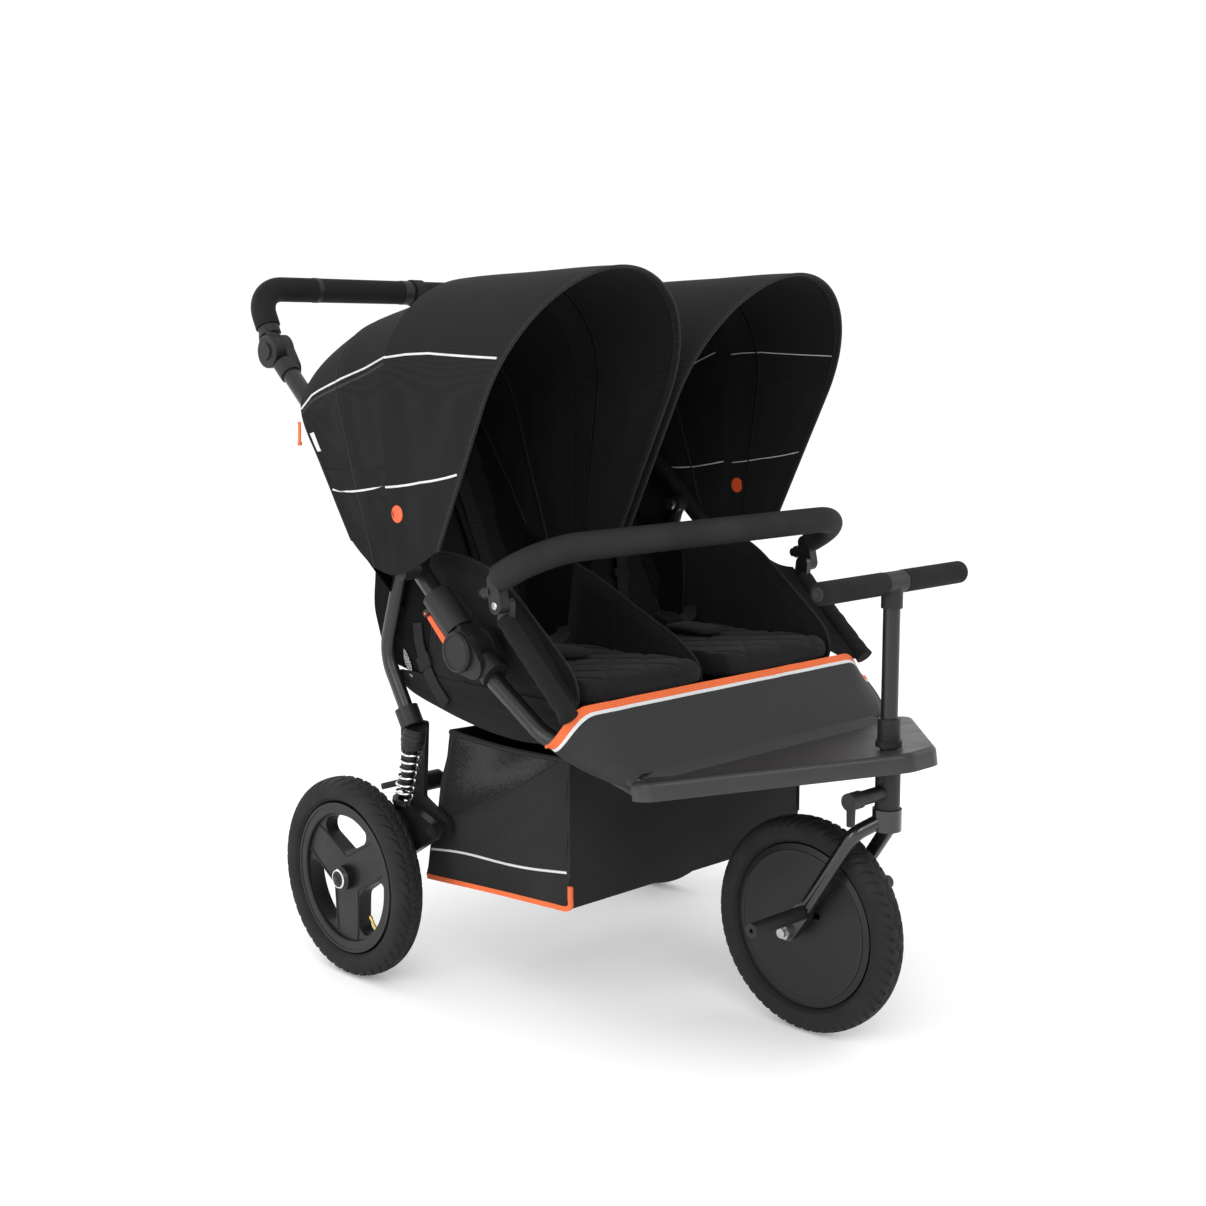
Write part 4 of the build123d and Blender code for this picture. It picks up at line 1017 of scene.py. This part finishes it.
for side, sign in SIDES:
    body = f"backrest_{side}"
    parts, bands = [], []
    for k in (-1, 1):
        x = sign * SEAT_MID + k * 46
        rows, around = 22, 20
        places = []
        for i in range(rows):
            d = 120 + 170 * i / (rows - 1)
            end = min(1, 2.6 * math.sin(math.pi * (0.02 + 0.96 * i / (rows - 1))))
            for j in range(around):
                a = 2 * math.pi * j / around
                w = 20.5 * end * math.copysign(abs(math.cos(a)) ** 0.6, math.cos(a))
                h = 5.0 * end * math.copysign(abs(math.sin(a)) ** 0.8, math.sin(a))
                h -= 0.9 * math.exp(-((abs(w) - 13) / 2.0) ** 2) * (1 if h > 0 else 0)
                places.append(lying_on_back(d, 6.5 + h + 1.5 * math.sin(d / 23), x + w))
        faces = grid_faces(rows, around, wrap_columns=True)
        faces += [tuple(range(around - 1, -1, -1)), tuple((rows - 1) * around + n for n in range(around))]
        parts.append((places, faces))
        path = spline([lying_on_back(36, 2, x - k * 16), lying_on_back(70, 6, x - k * 10),
                       lying_on_back(118, 13.5, x),
                       lying_on_back(200, 14.2, x), lying_on_back(288, 13.5, x), lying_on_back(312, 2.5, x)],
                       40)
        bands.append(strap(path, 24, 1.4, (1, 0, 0)))
        slider = strap([lying_on_back(84, 8.5, x - k * 8), lying_on_back(98, 10.5, x - k * 5)], 33, 4.5,
                       (1, 0, 0))
        bands.append(slider)
    pads = piece(f"shoulder_pads_{side}", *joined(*parts), CLOTH_PAD, body, "cloth_black",
                 replaces=[f"harness_pads_{side}"])
    piece(f"shoulder_webbing_{side}", *joined(*bands), WEBBING, body, "webbing_black")

    # crotch pad, buckle and the two lap straps
    x = sign * SEAT_MID
    places = []
    rows, around = 18, 20
    for i in range(rows):
        t = i / (rows - 1)
        y, z = -330 + 100 * t, 522.0 + 2.5 * math.sin(math.pi * t)
        end = min(1, 2.8 * math.sin(math.pi * (0.03 + 0.94 * t)))
        for j in range(around):
            a = 2 * math.pi * j / around
            w = 29 * end * math.copysign(abs(math.cos(a)) ** 0.6, math.cos(a))
            places.append((x + w, y, z + 5.2 * end * math.copysign(abs(math.sin(a)) ** 0.8, math.sin(a))))
    faces = grid_faces(rows, around, wrap_columns=True)
    faces += [tuple(range(around - 1, -1, -1)), tuple((rows - 1) * around + n for n in range(around))]
    crotch = piece(f"crotch_pad_{side}", places, faces, CLOTH_PAD, "front_frame", "cloth_black",
                   replaces=["crotch_straps"])
    shell_parts = []
    rise = math.atan2(10, 38)
    for half_w, d0, d1, thick, lift in ((19, 0, 34, 6.0, 0), (14, 30, 42, 4.0, 0), (7, 8, 26, 2.5, 4.2)):
        low, high = along((-236, 526), rise, d0, lift), along((-236, 526), rise, d1, lift)
        middle = along((-236, 526), rise, (d0 + d1) / 2, lift + 0.8)
        shell_parts.append(strap(spline([(x, *low), (x, *middle), (x, *high)], 9), 2 * half_w, 2 * thick,
                                 (1, 0, 0)))
    piece(f"buckle_{side}", *joined(*shell_parts), MOULDED, "front_frame", "moulded_black")
    bands = []
    for k in (-1, 1):
        wall = sign * SEAT_MID + k * (SEAT_HALF - 12)
        path = spline([(wall, -168, 534), (wall - k * 10, -176, 522), (x + k * 60, -196, 521),
                       (x + k * 22, -212, 533)], 26)
        bands.append(strap(path, 22, 1.4, (0, 0.9, 0.43)))
        bands.append(strap([path[14], path[17]], 32, 4.5, (0, 0.9, 0.43)))
    piece(f"lap_straps_{side}", *joined(*bands), WEBBING, "front_frame", "webbing_black")


# side wings, divider and the sling under the seats
def wing(outline, x, thick, ribs):
    """A soft upright wall: a swollen panel with a piped rim."""
    ring = spline([(0, *q) for q in outline], 96, closed=True)[:, 1:]
    centre = ring.mean(0)
    places, levels, n = [], 9, len(ring)
    for face in (1, -1):
        for i in range(levels):
            s = i / (levels - 1)
            swell = thick * math.sqrt(max(0, 1 - s ** 4)) * (1 + 0.12 * math.sin(9 * s + 2))
            for y, z in ring:
                here = (centre[0] + (y - centre[0]) * s, centre[1] + (z - centre[1]) * s)
                dent = sum(math.exp(-((here[0] - r) / 5.0) ** 2) for r in ribs) * 0.35
                places.append((x + face * max(0.6, swell * (1 - dent)), *here))
    faces = grid_faces(levels, n, wrap_columns=True)
    faces += grid_faces(levels, n, wrap_columns=True, start=levels * n)
    for k in range(n):
        a, b = (levels - 1) * n + k, (levels - 1) * n + (k + 1) % n
        faces.append((a, b, b + levels * n, a + levels * n))
    return places, faces, [(x, y, z) for y, z in ring]


WING_LINE = [(-452, 490), (-446, 520), (-421, 547), (-366, 592), (-303, 641), (-250, 662), (-175, 672),
             (-140, 658),
             (-138, 560), (-142, 474), (-240, 472), (-350, 474), (-434, 474)]
WALL_LINE = [(-428, 484), (-418, 508), (-375, 538), (-320, 562), (-240, 598), (-180, 622), (-142, 626),
             (-138, 550), (-138, 468),
             (-240, 468), (-350, 468), (-418, 470)]
WING_X = 274
rims = []
for side, sign in SIDES:
    places, faces, ring = wing(WING_LINE, sign * WING_X, 5.5, (-380, -300, -220))
    obj = piece(f"seat_wing_{side}", places, faces, CLOTH_PAD, "front_frame", "cloth_black",
                replaces=["seat_walls"])
    rims.append(tube(ring, 2.2, 8, closed=True))
places, faces, ring = wing(WALL_LINE, 0, 8.5, (-350, -260))
obj = piece("seat_divider", places, faces, CLOTH_PAD, "front_frame", "cloth_black", replaces=["seat_walls"])
rims.append(tube(ring, 2.2, 8, closed=True))
piece("seat_wing_piping", *joined(*rims), BINDING, "front_frame", "webbing_black")

# gussets: the cloth sides that close the corner between wings, backrest and hood, in the darker copy of the
# black cloth that paints the shade of that corner
def seat_rear(z, place):
    """How far back the side of the seat's cloth reaches at a height; the outer one ends at the curtain."""
    rear = float(np.interp(z, shell_line[:, 1], shell_line[:, 0])) - 7
    curtain_line = -64 + (z - 545) * 0.534
    return rear + (curtain_line - rear) * (smoothstep(z, 560, 690) if place == "outer"
                                           else 0.5 * smoothstep(z, 560, 690))


for side, sign in SIDES:
    for place, x in (("outer", 273.0), ("inner", 21.0)):
        out = 1.0 if place == "outer" else -0.3
        grid = []
        for w in np.linspace(0, 1, 24):
            row = []
            for t in np.linspace(0, 1, 30):
                front, z_front, z_rear = -150 - 28 * t, 470 + 176 * t, 492 + 204 * t
                z = z_front + (z_rear - z_front) * w
                y = front + (seat_rear(z_rear, place) - front) * w
                bulge = (3.5 * math.sin(math.pi * w) * math.sin(math.pi * t)
                         + 1.4 * math.sin(9 * t + 5 * w) * w * (1 - w))
                row.append((sign * (x + out * bulge), y, z))
            grid.append(row)
        gusset = cloth_piece(f"side_gusset_{place}_{side}", grid, 1.4, CLOTH_PAINTED_SHADE, None, "cloth_black",
                             inward=-sign)
        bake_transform(gusset)


# the sling under both seats: one sheet that hangs from the tubes and turns up at its sides
SLING = [(-462, 474), (-440, 447), (-400, 422), (-335, 412), (-260, 413), (-185, 422), (-125, 433),
         (-80, 443), (-48, 459)]
SLING_RIM_Z, SLING_HALF = 484, 279
line = spline([(0, *q) for q in SLING], 60)[:, 1:]
grid = []
for i, (y, z) in enumerate(line):
    row = []
    front_end, rear_end = smoothstep(y, -462, -425), 1 - smoothstep(y, -64, -46)
    for j in range(73):
        u = -1 + 2 * j / 72
        droop = 5 * (1 - u * u) * math.sin(math.pi * i / 59)
        a = abs(u)
        rise = smoothstep(a, 0.86, 0.99) * front_end * rear_end * max(0.0, SLING_RIM_Z - z)
        x = math.copysign(SLING_HALF * min(1.0, a / 0.93) - 1.5 * math.sin(math.pi * smoothstep(a, 0.9, 1)),
                          u) if u else 0.0
        row.append((x, y + wrinkle(i / 60, j / 57, 1.0, 0.5), z - droop + rise))
    grid.append(row)
sling = cloth_piece("seat_sling", grid, 1.6, CLOTH_BLACK, "front_frame", "cloth_black",
                    ["seat_bucket"], inward=-1)
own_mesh(sling)

for side, sign in SIDES:
    patch = [[(sign * 277, -74 - 16 * w + (16 - 9 * abs(2 * w - 1)) * (v - 0.5), 514 - 40 * w + 3 * v)
              for v in np.linspace(0, 1, 8)]
             for w in np.linspace(0, 1, 16)]
    places, faces = shell(patch, 1.0, sign)
    piece(f"side_vent_{side}", places, faces, DOTS, "handle_frame", "cloth_black")
    tether = spline([(sign * 277, -106, 560), (sign * 278, -112, 528), (sign * 279, -128, 496),
                     (sign * 281, -150, 470),
                     (sign * 281, -176, 446)], 40)
    clip = strap([tether[14], tether[20]], 30, 5.0, (0, 0.85, -0.5))
    tether_band = piece(f"side_tether_{side}", *joined(strap(tether, 21, 1.6, (0, 0.85, -0.5)), clip),
                        WEBBING, "front_frame",
                        "webbing_black")
    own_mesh(tether_band)

# cloth-covered side tubes with soft gathers
SEAT_TUBE_X, SEAT_TUBE_TOP, SEAT_TUBE_FOOT = 322.0, (-358.0, 598.0), (-486.0, 480.0)
for side, sign in SIDES:
    path = spline([(sign * SEAT_TUBE_X, *SEAT_TUBE_TOP), (sign * SEAT_TUBE_X, -418, 543),
                   (sign * SEAT_TUBE_X, *SEAT_TUBE_FOOT)], 90)

    def sleeve_radius(t, a):
        gather = 0.8 * math.sin(38 * t + 2.2 * math.sin(a)) + 0.5 * math.sin(61 * t + 3 * a)
        return 12.4 + gather * (0.5 + 0.5 * math.cos(a - 1)) + 1.6 * math.exp(-((t - 1) / 0.05) ** 2)

    cover = piece(f"side_tube_cover_{side}", *tube(path, sleeve_radius, 28), CLOTH_BLACK, "front_frame",
                  "cloth_black",
                  replaces=["seat_side_tubes"])
    web = []
    for w in np.linspace(0, 1, 30):
        near_wing = (277.0, -308 - 142 * w, 634 - 142 * w + 6 * math.sin(math.pi * w))
        near_tube = (SEAT_TUBE_X - 4, -340 - 146 * w, 612 - 132 * w)
        web.append([(sign * (near_wing[0] + (near_tube[0] - near_wing[0]) * t),
                     near_wing[1] + (near_tube[1] - near_wing[1]) * t,
                     near_wing[2] + (near_tube[2] - near_wing[2]) * t - 6 * math.sin(math.pi * t)
                      + 0.6 * math.sin(21 * w + 4 * t))
                    for t in np.linspace(0, 1, 12)])
    cloth_piece(f"side_web_{side}", web, 1.4, CLOTH_BLACK, "front_frame", "cloth_black",
                inward=-sign)


# ---- leg panel and foot strip ------------------------------------------------------------------
def panel_place(s, v, lift=0.0):
    """s runs across (-1 to 1), v from the upper edge (0) to the tray (1). The sides wrap the tubes."""
    a = abs(s)
    bend = smoothstep(a, 0.80, 1.0)
    top = (math.copysign(a * 345, s), -478 + 8 * bend, 484 - 44 * bend ** 1.4)
    foot = (s * 286, -566 + 4 * bend, 406 - 18 * smoothstep(a, 0.92, 1.0))
    sag = 5.0 * math.sin(math.pi * v) * (1 - 0.6 * bend)
    p = [top[k] + (foot[k] - top[k]) * v for k in range(3)]
    roll = 9 * bend * math.sin(math.pi * min(1, v * 1.1))
    ripple = wrinkle(v, s * 0.7, 3.3, 0.35)
    return (p[0] + math.copysign(roll, s), p[1] - 0.65 * (sag * 0.4 - ripple) - lift * 0.65,
            p[2] - 0.76 * (sag - ripple) * 0.5 + lift * 0.76)


S_VALUES = np.linspace(-1, 1, 129)
V_VALUES = np.linspace(0, 1, 44)
grid = [[panel_place(s, v) for s in S_VALUES] for v in V_VALUES]
cloth_piece("leg_panel_cloth", grid, 1.6, CLOTH_PANEL, "front_frame", "cloth_black",
            ["leg_panel"], inward=1)
for name, v0, v1, material, lift in (("leg_panel_white_edge", 0.05, 0.10, WHITE_PIPING, 0.9),
                                     ("leg_panel_orange_edge", -0.03, 0.057, ORANGE_CLOTH, 1.4)):
    band = [[panel_place(s, v, lift) for s in S_VALUES] for v in np.linspace(v0, v1, 6)]
    places, faces = shell(band, 1.8, 1)
    piece(name, places, faces, material, "front_frame", "orange" if "orange" in name else "cloth_black")
edge = [panel_place(s, -0.03, 0.3) for s in np.linspace(-1, 1, 161)]
piece("leg_panel_cord", *tube(edge, 2.4, 10), ORANGE_CLOTH, "front_frame", "orange")
rows = [stitches([panel_place(s, v, 1.2) for s in np.linspace(-0.97, 0.97, 161)], 4.5, 3.0, 0.4)
        for v in (0.16, 0.93)]
piece("leg_panel_stitches", *joined(*rows), STITCH, "front_frame", "webbing_black")

strip = []
for i in range(16):
    t = i / 15
    y, z = -560 - 33 * t, 407.5 - 8 * t
    strip.append([(x, y, z + 0.8 * math.sin(math.pi * t) - 9 * smoothstep(abs(x), 238, 262))
                  for x in np.linspace(-262, 262, 66)])
places, faces = shell(strip, 2.4, 1)
piece("foot_strip_rubber", places, faces, STRIP, "front_frame", "strip_grey", replaces=["foot_strip"])
rows = []
for x in (-126, -121, 121, 126):
    rows.append(tube([(x, -561, 408.0), (x, -576, 404.6), (x, -592, 400.2)], 0.7, 6))
piece("foot_strip_seams", *joined(*rows), STITCH, "front_frame", "webbing_black")

# ---- basket ------------------------------------------------------------------------------------
BASKET_HALF = 252.0


def basket_ring(v):
    """Plan outline of the basket at a height share v: corners of its floor (0) and its rim (1)."""
    z_front, z_rear = 181 + 216 * v, 158 + 238 * v
    front, rear = -411.0, -84 - 66 * v
    return front, rear, z_front, z_rear


def basket_place(u, v, lift=0.0):
    """u runs round the basket from the middle of its rear: the left side, the front, the right side."""
    front, rear, z_front, z_rear = basket_ring(v)
    depth = rear - front
    belly = 5.0 * math.sin(math.pi * v)
    legs = [BASKET_HALF, depth, 2 * BASKET_HALF, depth, BASKET_HALF]
    run = (u % 1) * sum(legs)
    half = BASKET_HALF + lift
    corners = [(0, rear), (half, rear + lift), (half, front - lift), (-half, front - lift),
               (-half, rear + lift), (0, rear)]
    for k, leg in enumerate(legs):
        if run <= leg or k == 4:
            t = min(1.0, run / leg)
            break
        run -= leg
    (x0, y0), (x1, y1) = corners[k], corners[k + 1]
    x, y = x0 + (x1 - x0) * t, y0 + (y1 - y0) * t
    soft = math.sin(math.pi * t) if k in (1, 2, 3) else 0.0
    bulge = (belly * 0.6 + 0.9 * math.sin(14 * v + 9 * t)) * soft + wrinkle(v, u, 0.4, 0.45) * soft
    if k == 2:
        y -= max(-2, bulge * 0.3) - 2
    elif k in (1, 3):
        x += math.copysign(bulge * 0.5, x) - math.copysign(2.0, x) * soft
    share = (y - front) / depth
    z = z_front + (z_rear - z_front) * share - 6 * soft * v * v
    return (x, y, z)


ROUND = 200
grid = []
for v in np.linspace(0, 1, 36):
    grid.append([basket_place(j / ROUND, v) for j in range(ROUND)] + [basket_place(0.99999, v)])
cloth_piece("basket_wall", grid, 1.8, CLOTH_BASKET, "front_frame", "cloth_black",
            ["basket"], inward=1)
FLOOR_FRONT, FLOOR_REAR = (-409, 181), (-86, 158)
floor_grid = []
for i in range(24):
    t = i / 23
    y = FLOOR_FRONT[0] + (FLOOR_REAR[0] - FLOOR_FRONT[0]) * t
    z = FLOOR_FRONT[1] + (FLOOR_REAR[1] - FLOOR_FRONT[1]) * t
    floor_grid.append([(x, y, z + 1.5 - 5 * (1 - (x / 250) ** 2) * math.sin(math.pi * t) + 4)
                       for x in np.linspace(-250, 250, 40)])
cloth_piece("basket_floor", floor_grid, 1.8, CLOTH_BLACK, "front_frame", "cloth_black",
            inward=1)


def on_basket_side(sign, share, v, lift):
    front, rear, z_front, z_rear = basket_ring(v)
    y = rear + (front - rear) * share
    z = z_rear + (z_front - z_rear) * share - 6 * math.sin(math.pi * share) * v * v
    belly = 5.0 * math.sin(math.pi * v)
    t = share if sign > 0 else 1 - share
    soft = math.sin(math.pi * t)
    x = BASKET_HALF + (belly * 0.6 + 0.9 * math.sin(14 * v + 9 * t)) * soft * 0.5 - 2.0 * soft
    return (sign * (x + lift), y, z)


for side, sign in SIDES:
    white = [on_basket_side(sign, s, 0.19 + 0.05 * s + 0.012 * math.sin(7 * s), 1.9)
             for s in np.linspace(0.02, 0.985, 60)]
    piece(f"basket_piping_{side}", *tube(white, 1.9, 8), WHITE_PIPING, "front_frame", "cloth_black")
    low = [on_basket_side(sign, s, 0.0, 1.2) for s in np.linspace(0.02, 0.995, 50)]
    up = [(sign * (BASKET_HALF + 0.8), -412.5, 181 + d) for d in np.linspace(5, 40, 12)]
    path = spline(low[::4] + up[::3], 120)
    piece(f"basket_orange_edge_{side}", *strap(path, 7.5, 4.0, (0.0, 0.25, 1.0)), ORANGE_CLOTH,
          "front_frame", "orange")
    seam = [(sign * (BASKET_HALF + 0.4), -411.5, 196 + 200 * t) for t in np.linspace(0.16, 1, 20)]
    rim = [on_basket_side(sign, s, 1.0, 0.3) for s in np.linspace(0, 1, 40)]
    diagonal = [on_basket_side(sign, s, 0.33 + 0.72 * s, 2.2) for s in np.linspace(0.03, 0.91, 40)]
    piece(f"basket_seams_{side}", *joined(tube(seam, 2.2, 8), tube(rim, 4.0, 10), tube(diagonal, 1.8, 8)),
          BINDING,
          "front_frame", "webbing_black")
    net = [[on_basket_side(sign, s, 0.33 + 0.72 * s + (0.985 - 0.33 - 0.72 * s) * w, 2.6)
            for s in np.linspace(0.05, 0.90, 30)]
           for w in np.linspace(0.0, 1, 10)]
    places, faces = shell(net, 0.8, sign)
    piece(f"basket_net_{side}", places, faces, NET, "front_frame", "cloth_black")
front_rim = [(x, -413, 397 - 5 * (1 - (x / 252) ** 2)) for x in np.linspace(-252, 252, 60)]
rear_rim = [(x, -150, 396 - 5 * (1 - (x / 252) ** 2)) for x in np.linspace(-252, 252, 60)]
piece("basket_rims", *joined(tube(front_rim, 4.0, 10), tube(rear_rim, 4.0, 10)), BINDING, "front_frame",
      "webbing_black")

# ---- canopy trim -------------------------------------------------------------------------------
# (u, t) places on the hood and the visor; t is 0 at the foot of the outer side
for side, sign in SIDES:
    pipe = trace(hood_place, [(0.0, 0.270), (0.19, 0.285), (0.51, 0.290), (0.75, 0.301), (0.92, 0.314)], 120,
                 sign, 1.3)
    piece(f"hood_piping_upper_{side}", *tube(pipe, 1.7, 8), WHITE_PIPING, "handle_frame", "cloth_black")
    pipe = trace(visor_place, [(0.0, 0.296), (0.18, 0.298), (0.36, 0.297), (0.6, 0.290), (0.955, 0.279)],
                 120, sign, 1.4)
    piece(f"visor_piping_upper_{side}", *tube(pipe, 1.7, 8), WHITE_PIPING, f"visor_{side}", "cloth_black")
    pipe = trace(hood_place, [(0.05, 0.108), (0.4, 0.116), (0.92, 0.127)], 90, sign, 1.3)
    piece(f"hood_piping_lower_{side}", *tube(pipe, 1.7, 8), WHITE_PIPING, "handle_frame", "cloth_black")
    pipe = trace(visor_place, [(0.0, 0.120), (0.48, 0.122), (0.955, 0.118)], 90, sign, 1.4)
    piece(f"visor_piping_lower_{side}", *tube(pipe, 1.7, 8), WHITE_PIPING, f"visor_{side}", "cloth_black")
    # a zipped flap under the upper piping, and a ventilation flap over the lower one
    teeth = trace(hood_place, [(0.0, 0.258), (0.19, 0.273), (0.51, 0.278), (0.75, 0.289), (0.92, 0.302)],
                  120, sign, 0.9)
    piece(f"hood_zip_{side}", *strap(teeth, 5.0, 1.2, (0, 0.4, 0.9)), MOULDED, "handle_frame",
          "moulded_black")
    flap = [[hood_place(u, t, 1.1 + 0.9 * math.sin(9 * u)) for u in np.linspace(0.06, 0.9, 40)]
            for t in np.linspace(0.111, 0.15, 8)]
    places, faces = shell([[(sign * x, y, z) for x, y, z in row] for row in flap], 1.0, sign)
    piece(f"hood_flap_{side}", places, faces, CLOTH_BLACK, "handle_frame", "cloth_black")
    badge = Vector(trace(visor_place, [(0.167, 0.083), (0.167, 0.083)], 2, sign, 0.6)[0])
    profile = [(-1.0, 12.5), (0.6, 12.5), (1.2, 11.8), (1.3, 10.6), (0.9, 10.0), (0.9, 0)]
    piece(f"round_badge_{side}", *lathe(profile, tuple(badge), (sign, 0, 0), 40), ORANGE_PLASTIC,
          f"visor_{side}", "orange")
    label = [[hood_place(u, t, 1.2) for u in np.linspace(0.035, 0.10, 4)]
             for t in np.linspace(0.185, 0.222, 5)]
    places, faces = shell([[(sign * x, y, z) for x, y, z in row] for row in label], 0.8, sign)
    piece(f"care_label_{side}", places, faces, WHITE_PIPING, "handle_frame", "cloth_black")
    pull = f"zip_pull_{side}"
    lo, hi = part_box(pull)
    x = (lo.x + hi.x) / 2 * 1000
    y_mid, top, low = ((lo.y + hi.y) / 2 - AXLE_Y) * 1000, hi.z * 1000, lo.z * 1000
    path = spline([(x, y_mid, top - 1), (x, y_mid - 0.6, top - 10), (x, y_mid + 0.4, low + 8),
                   (x, y_mid, low + 1)], 24)
    tape = strap(path, 6.0, 1.6, (0, 1, 0))
    knot = lathe([(-3, 1.0), (-2.4, 3.0), (0, 3.6), (2.4, 3.0), (3, 1.0)], (x, y_mid, low + 4), (0, 0, 1), 20)
    piece(f"zip_tape_{side}", *joined(tape, knot), ORANGE_CLOTH, pull, "orange", replaces=[pull])

# ---- wrist strap -------------------------------------------------------------------------------
loop = []
for k in range(33):
    a = 2 * math.pi * k / 33
    loop.append((0, HANDLE[0] + 21.4 * math.cos(a), HANDLE[1] + 21.4 * math.sin(a)))
p = np.array(loop)
places = []
for q in p:
    out = np.array((0, q[1] - HANDLE[0], q[2] - HANDLE[1])) / 21.4
    for w, h in ((-10.5, -0.9), (10.5, -0.9), (10.5, 0.9), (-10.5, 0.9)):
        places.append((w, q[1] + out[1] * h, q[2] + out[2] * h))
faces = grid_faces(33, 4, wrap_rows=True, wrap_columns=True)
tail_top = HANDLE[1] - 21.5
tail = strap(spline([(0, HANDLE[0], tail_top), (0, HANDLE[0] - 1.5, tail_top - 18),
                     (0, HANDLE[0] + 1, tail_top - 36),
                     (0, HANDLE[0], tail_top - 53)], 30), 20, 1.8, (1, 0, 0))
ring_path = [(9.5 * math.cos(a), HANDLE[0], tail_top - 16 + 5.5 * math.sin(a))
             for a in np.linspace(0, 2 * math.pi, 33)[:-1]]
piece("wrist_strap_webbing", *joined((places, faces), tail), WEBBING, "handle", "webbing_black",
      replaces=["wrist_strap"])
piece("wrist_strap_ring", *tube(ring_path, 1.3, 8, closed=True), ZINC, "handle", "steel_bright")
box_stitch = [(-7, HANDLE[0] - 2.6, tail_top - 26), (7, HANDLE[0] - 2.6, tail_top - 26),
              (7, HANDLE[0] - 2.6, tail_top - 38),
              (-7, HANDLE[0] - 2.6, tail_top - 38), (-7, HANDLE[0] - 2.6, tail_top - 26)]
piece("wrist_strap_stitches", *stitches(box_stitch, 3.2, 2.2, 0.4), WHITE_PIPING, "handle", "webbing_black")

# ---- stage, light and camera -------------------------------------------------------------------
def plain_floor():
    n = Nodes("floor_white")
    cloud = n.noise(1.5, 2.0, place_vector(n))
    n.set(Base_Color=n.mix(cloud, (0.93, 0.93, 0.93, 1), (0.96, 0.96, 0.96, 1)), Roughness=0.75,
          Specular_IOR_Level=0.15,
          Emission_Color=(1, 1, 1, 1), Emission_Strength=0.14)
    mesh = bpy.data.meshes.new("floor")
    s = 9.0
    mesh.from_pydata([(-s, -s, 0), (s, -s, 0), (s, s, 0), (-s, s, 0)], [], [(0, 1, 2, 3)])
    mesh.materials.append(n.material)
    obj = bpy.data.objects.new("floor", mesh)
    bpy.context.scene.collection.objects.link(obj)
    obj.location.z = -0.0008


plain_floor()


def area_light(name, place, target, size, power):
    data = bpy.data.lights.new(name, "AREA")
    data.shape = "RECTANGLE"
    data.size, data.size_y = size
    data.energy = power
    obj = bpy.data.objects.new(name, data)
    obj.location = place
    obj.rotation_euler = (Vector(target) - Vector(place)).to_track_quat("-Z", "Y").to_euler()
    bpy.context.scene.collection.objects.link(obj)


area_light("key", (-1.9, -2.6, 2.6), (0, -0.1, 0.5), (2.2, 1.8), 46)
area_light("fill", (3.2, -1.6, 1.9), (0, 0, 0.5), (2.0, 1.6), 14)
area_light("rim", (-0.8, 3.0, 2.0), (0, 0, 0.6), (2.4, 1.0), 16)
area_light("side", (-3.4, 0.2, 1.3), (0, 0, 0.5), (1.6, 1.8), 30)
overhead = bpy.data.lights.new("overhead", "SUN")
overhead.energy, overhead.angle = 0.5, 1.6
bpy.context.scene.collection.objects.link(bpy.data.objects.new("overhead", overhead))

bpy.context.scene.view_settings.view_transform = "Standard"
world = bpy.data.worlds.new("studio")
bpy.context.scene.world = world
world.use_nodes = True
background = world.node_tree.nodes["Background"]
tree = world.node_tree
split = tree.nodes.new("ShaderNodeSeparateXYZ")
wall = tree.nodes.new("ShaderNodeMapRange")
tree.links.new(tree.nodes.new("ShaderNodeTexCoord").outputs["Generated"], split.inputs[0])
tree.links.new(split.outputs["Z"], wall.inputs["Value"])
for key, value in {"From Min": 0.3, "From Max": 0.75, "To Min": 1.03, "To Max": 0.74}.items():
    wall.inputs[key].default_value = value
tree.links.new(wall.outputs["Result"], background.inputs["Strength"])
background.inputs["Color"].default_value = (1, 1, 1, 1)

CAMERA_TURN, CAMERA_DROP, CAMERA_ROLL = math.radians(-44.29), math.radians(8.48), math.radians(0.11)
FOCAL = 50.88
forward = Vector((-math.sin(CAMERA_TURN) * math.cos(CAMERA_DROP),
                  math.cos(CAMERA_TURN) * math.cos(CAMERA_DROP),
                  -math.sin(CAMERA_DROP)))
camera_data = bpy.data.cameras.new("camera")
camera_data.lens, camera_data.sensor_width = FOCAL, 36.0
camera = bpy.data.objects.new("camera", camera_data)
bpy.context.scene.collection.objects.link(camera)
camera.location = pt(-1838.4, -2104.9, 965.1)
camera.rotation_mode = "QUATERNION"
camera.rotation_quaternion = forward.to_track_quat("-Z", "Y")
camera_roll = Matrix.Rotation(CAMERA_ROLL, 3, forward)
camera.rotation_quaternion = (camera_roll @ camera.rotation_quaternion.to_matrix()).to_quaternion()
bpy.context.scene.camera = camera
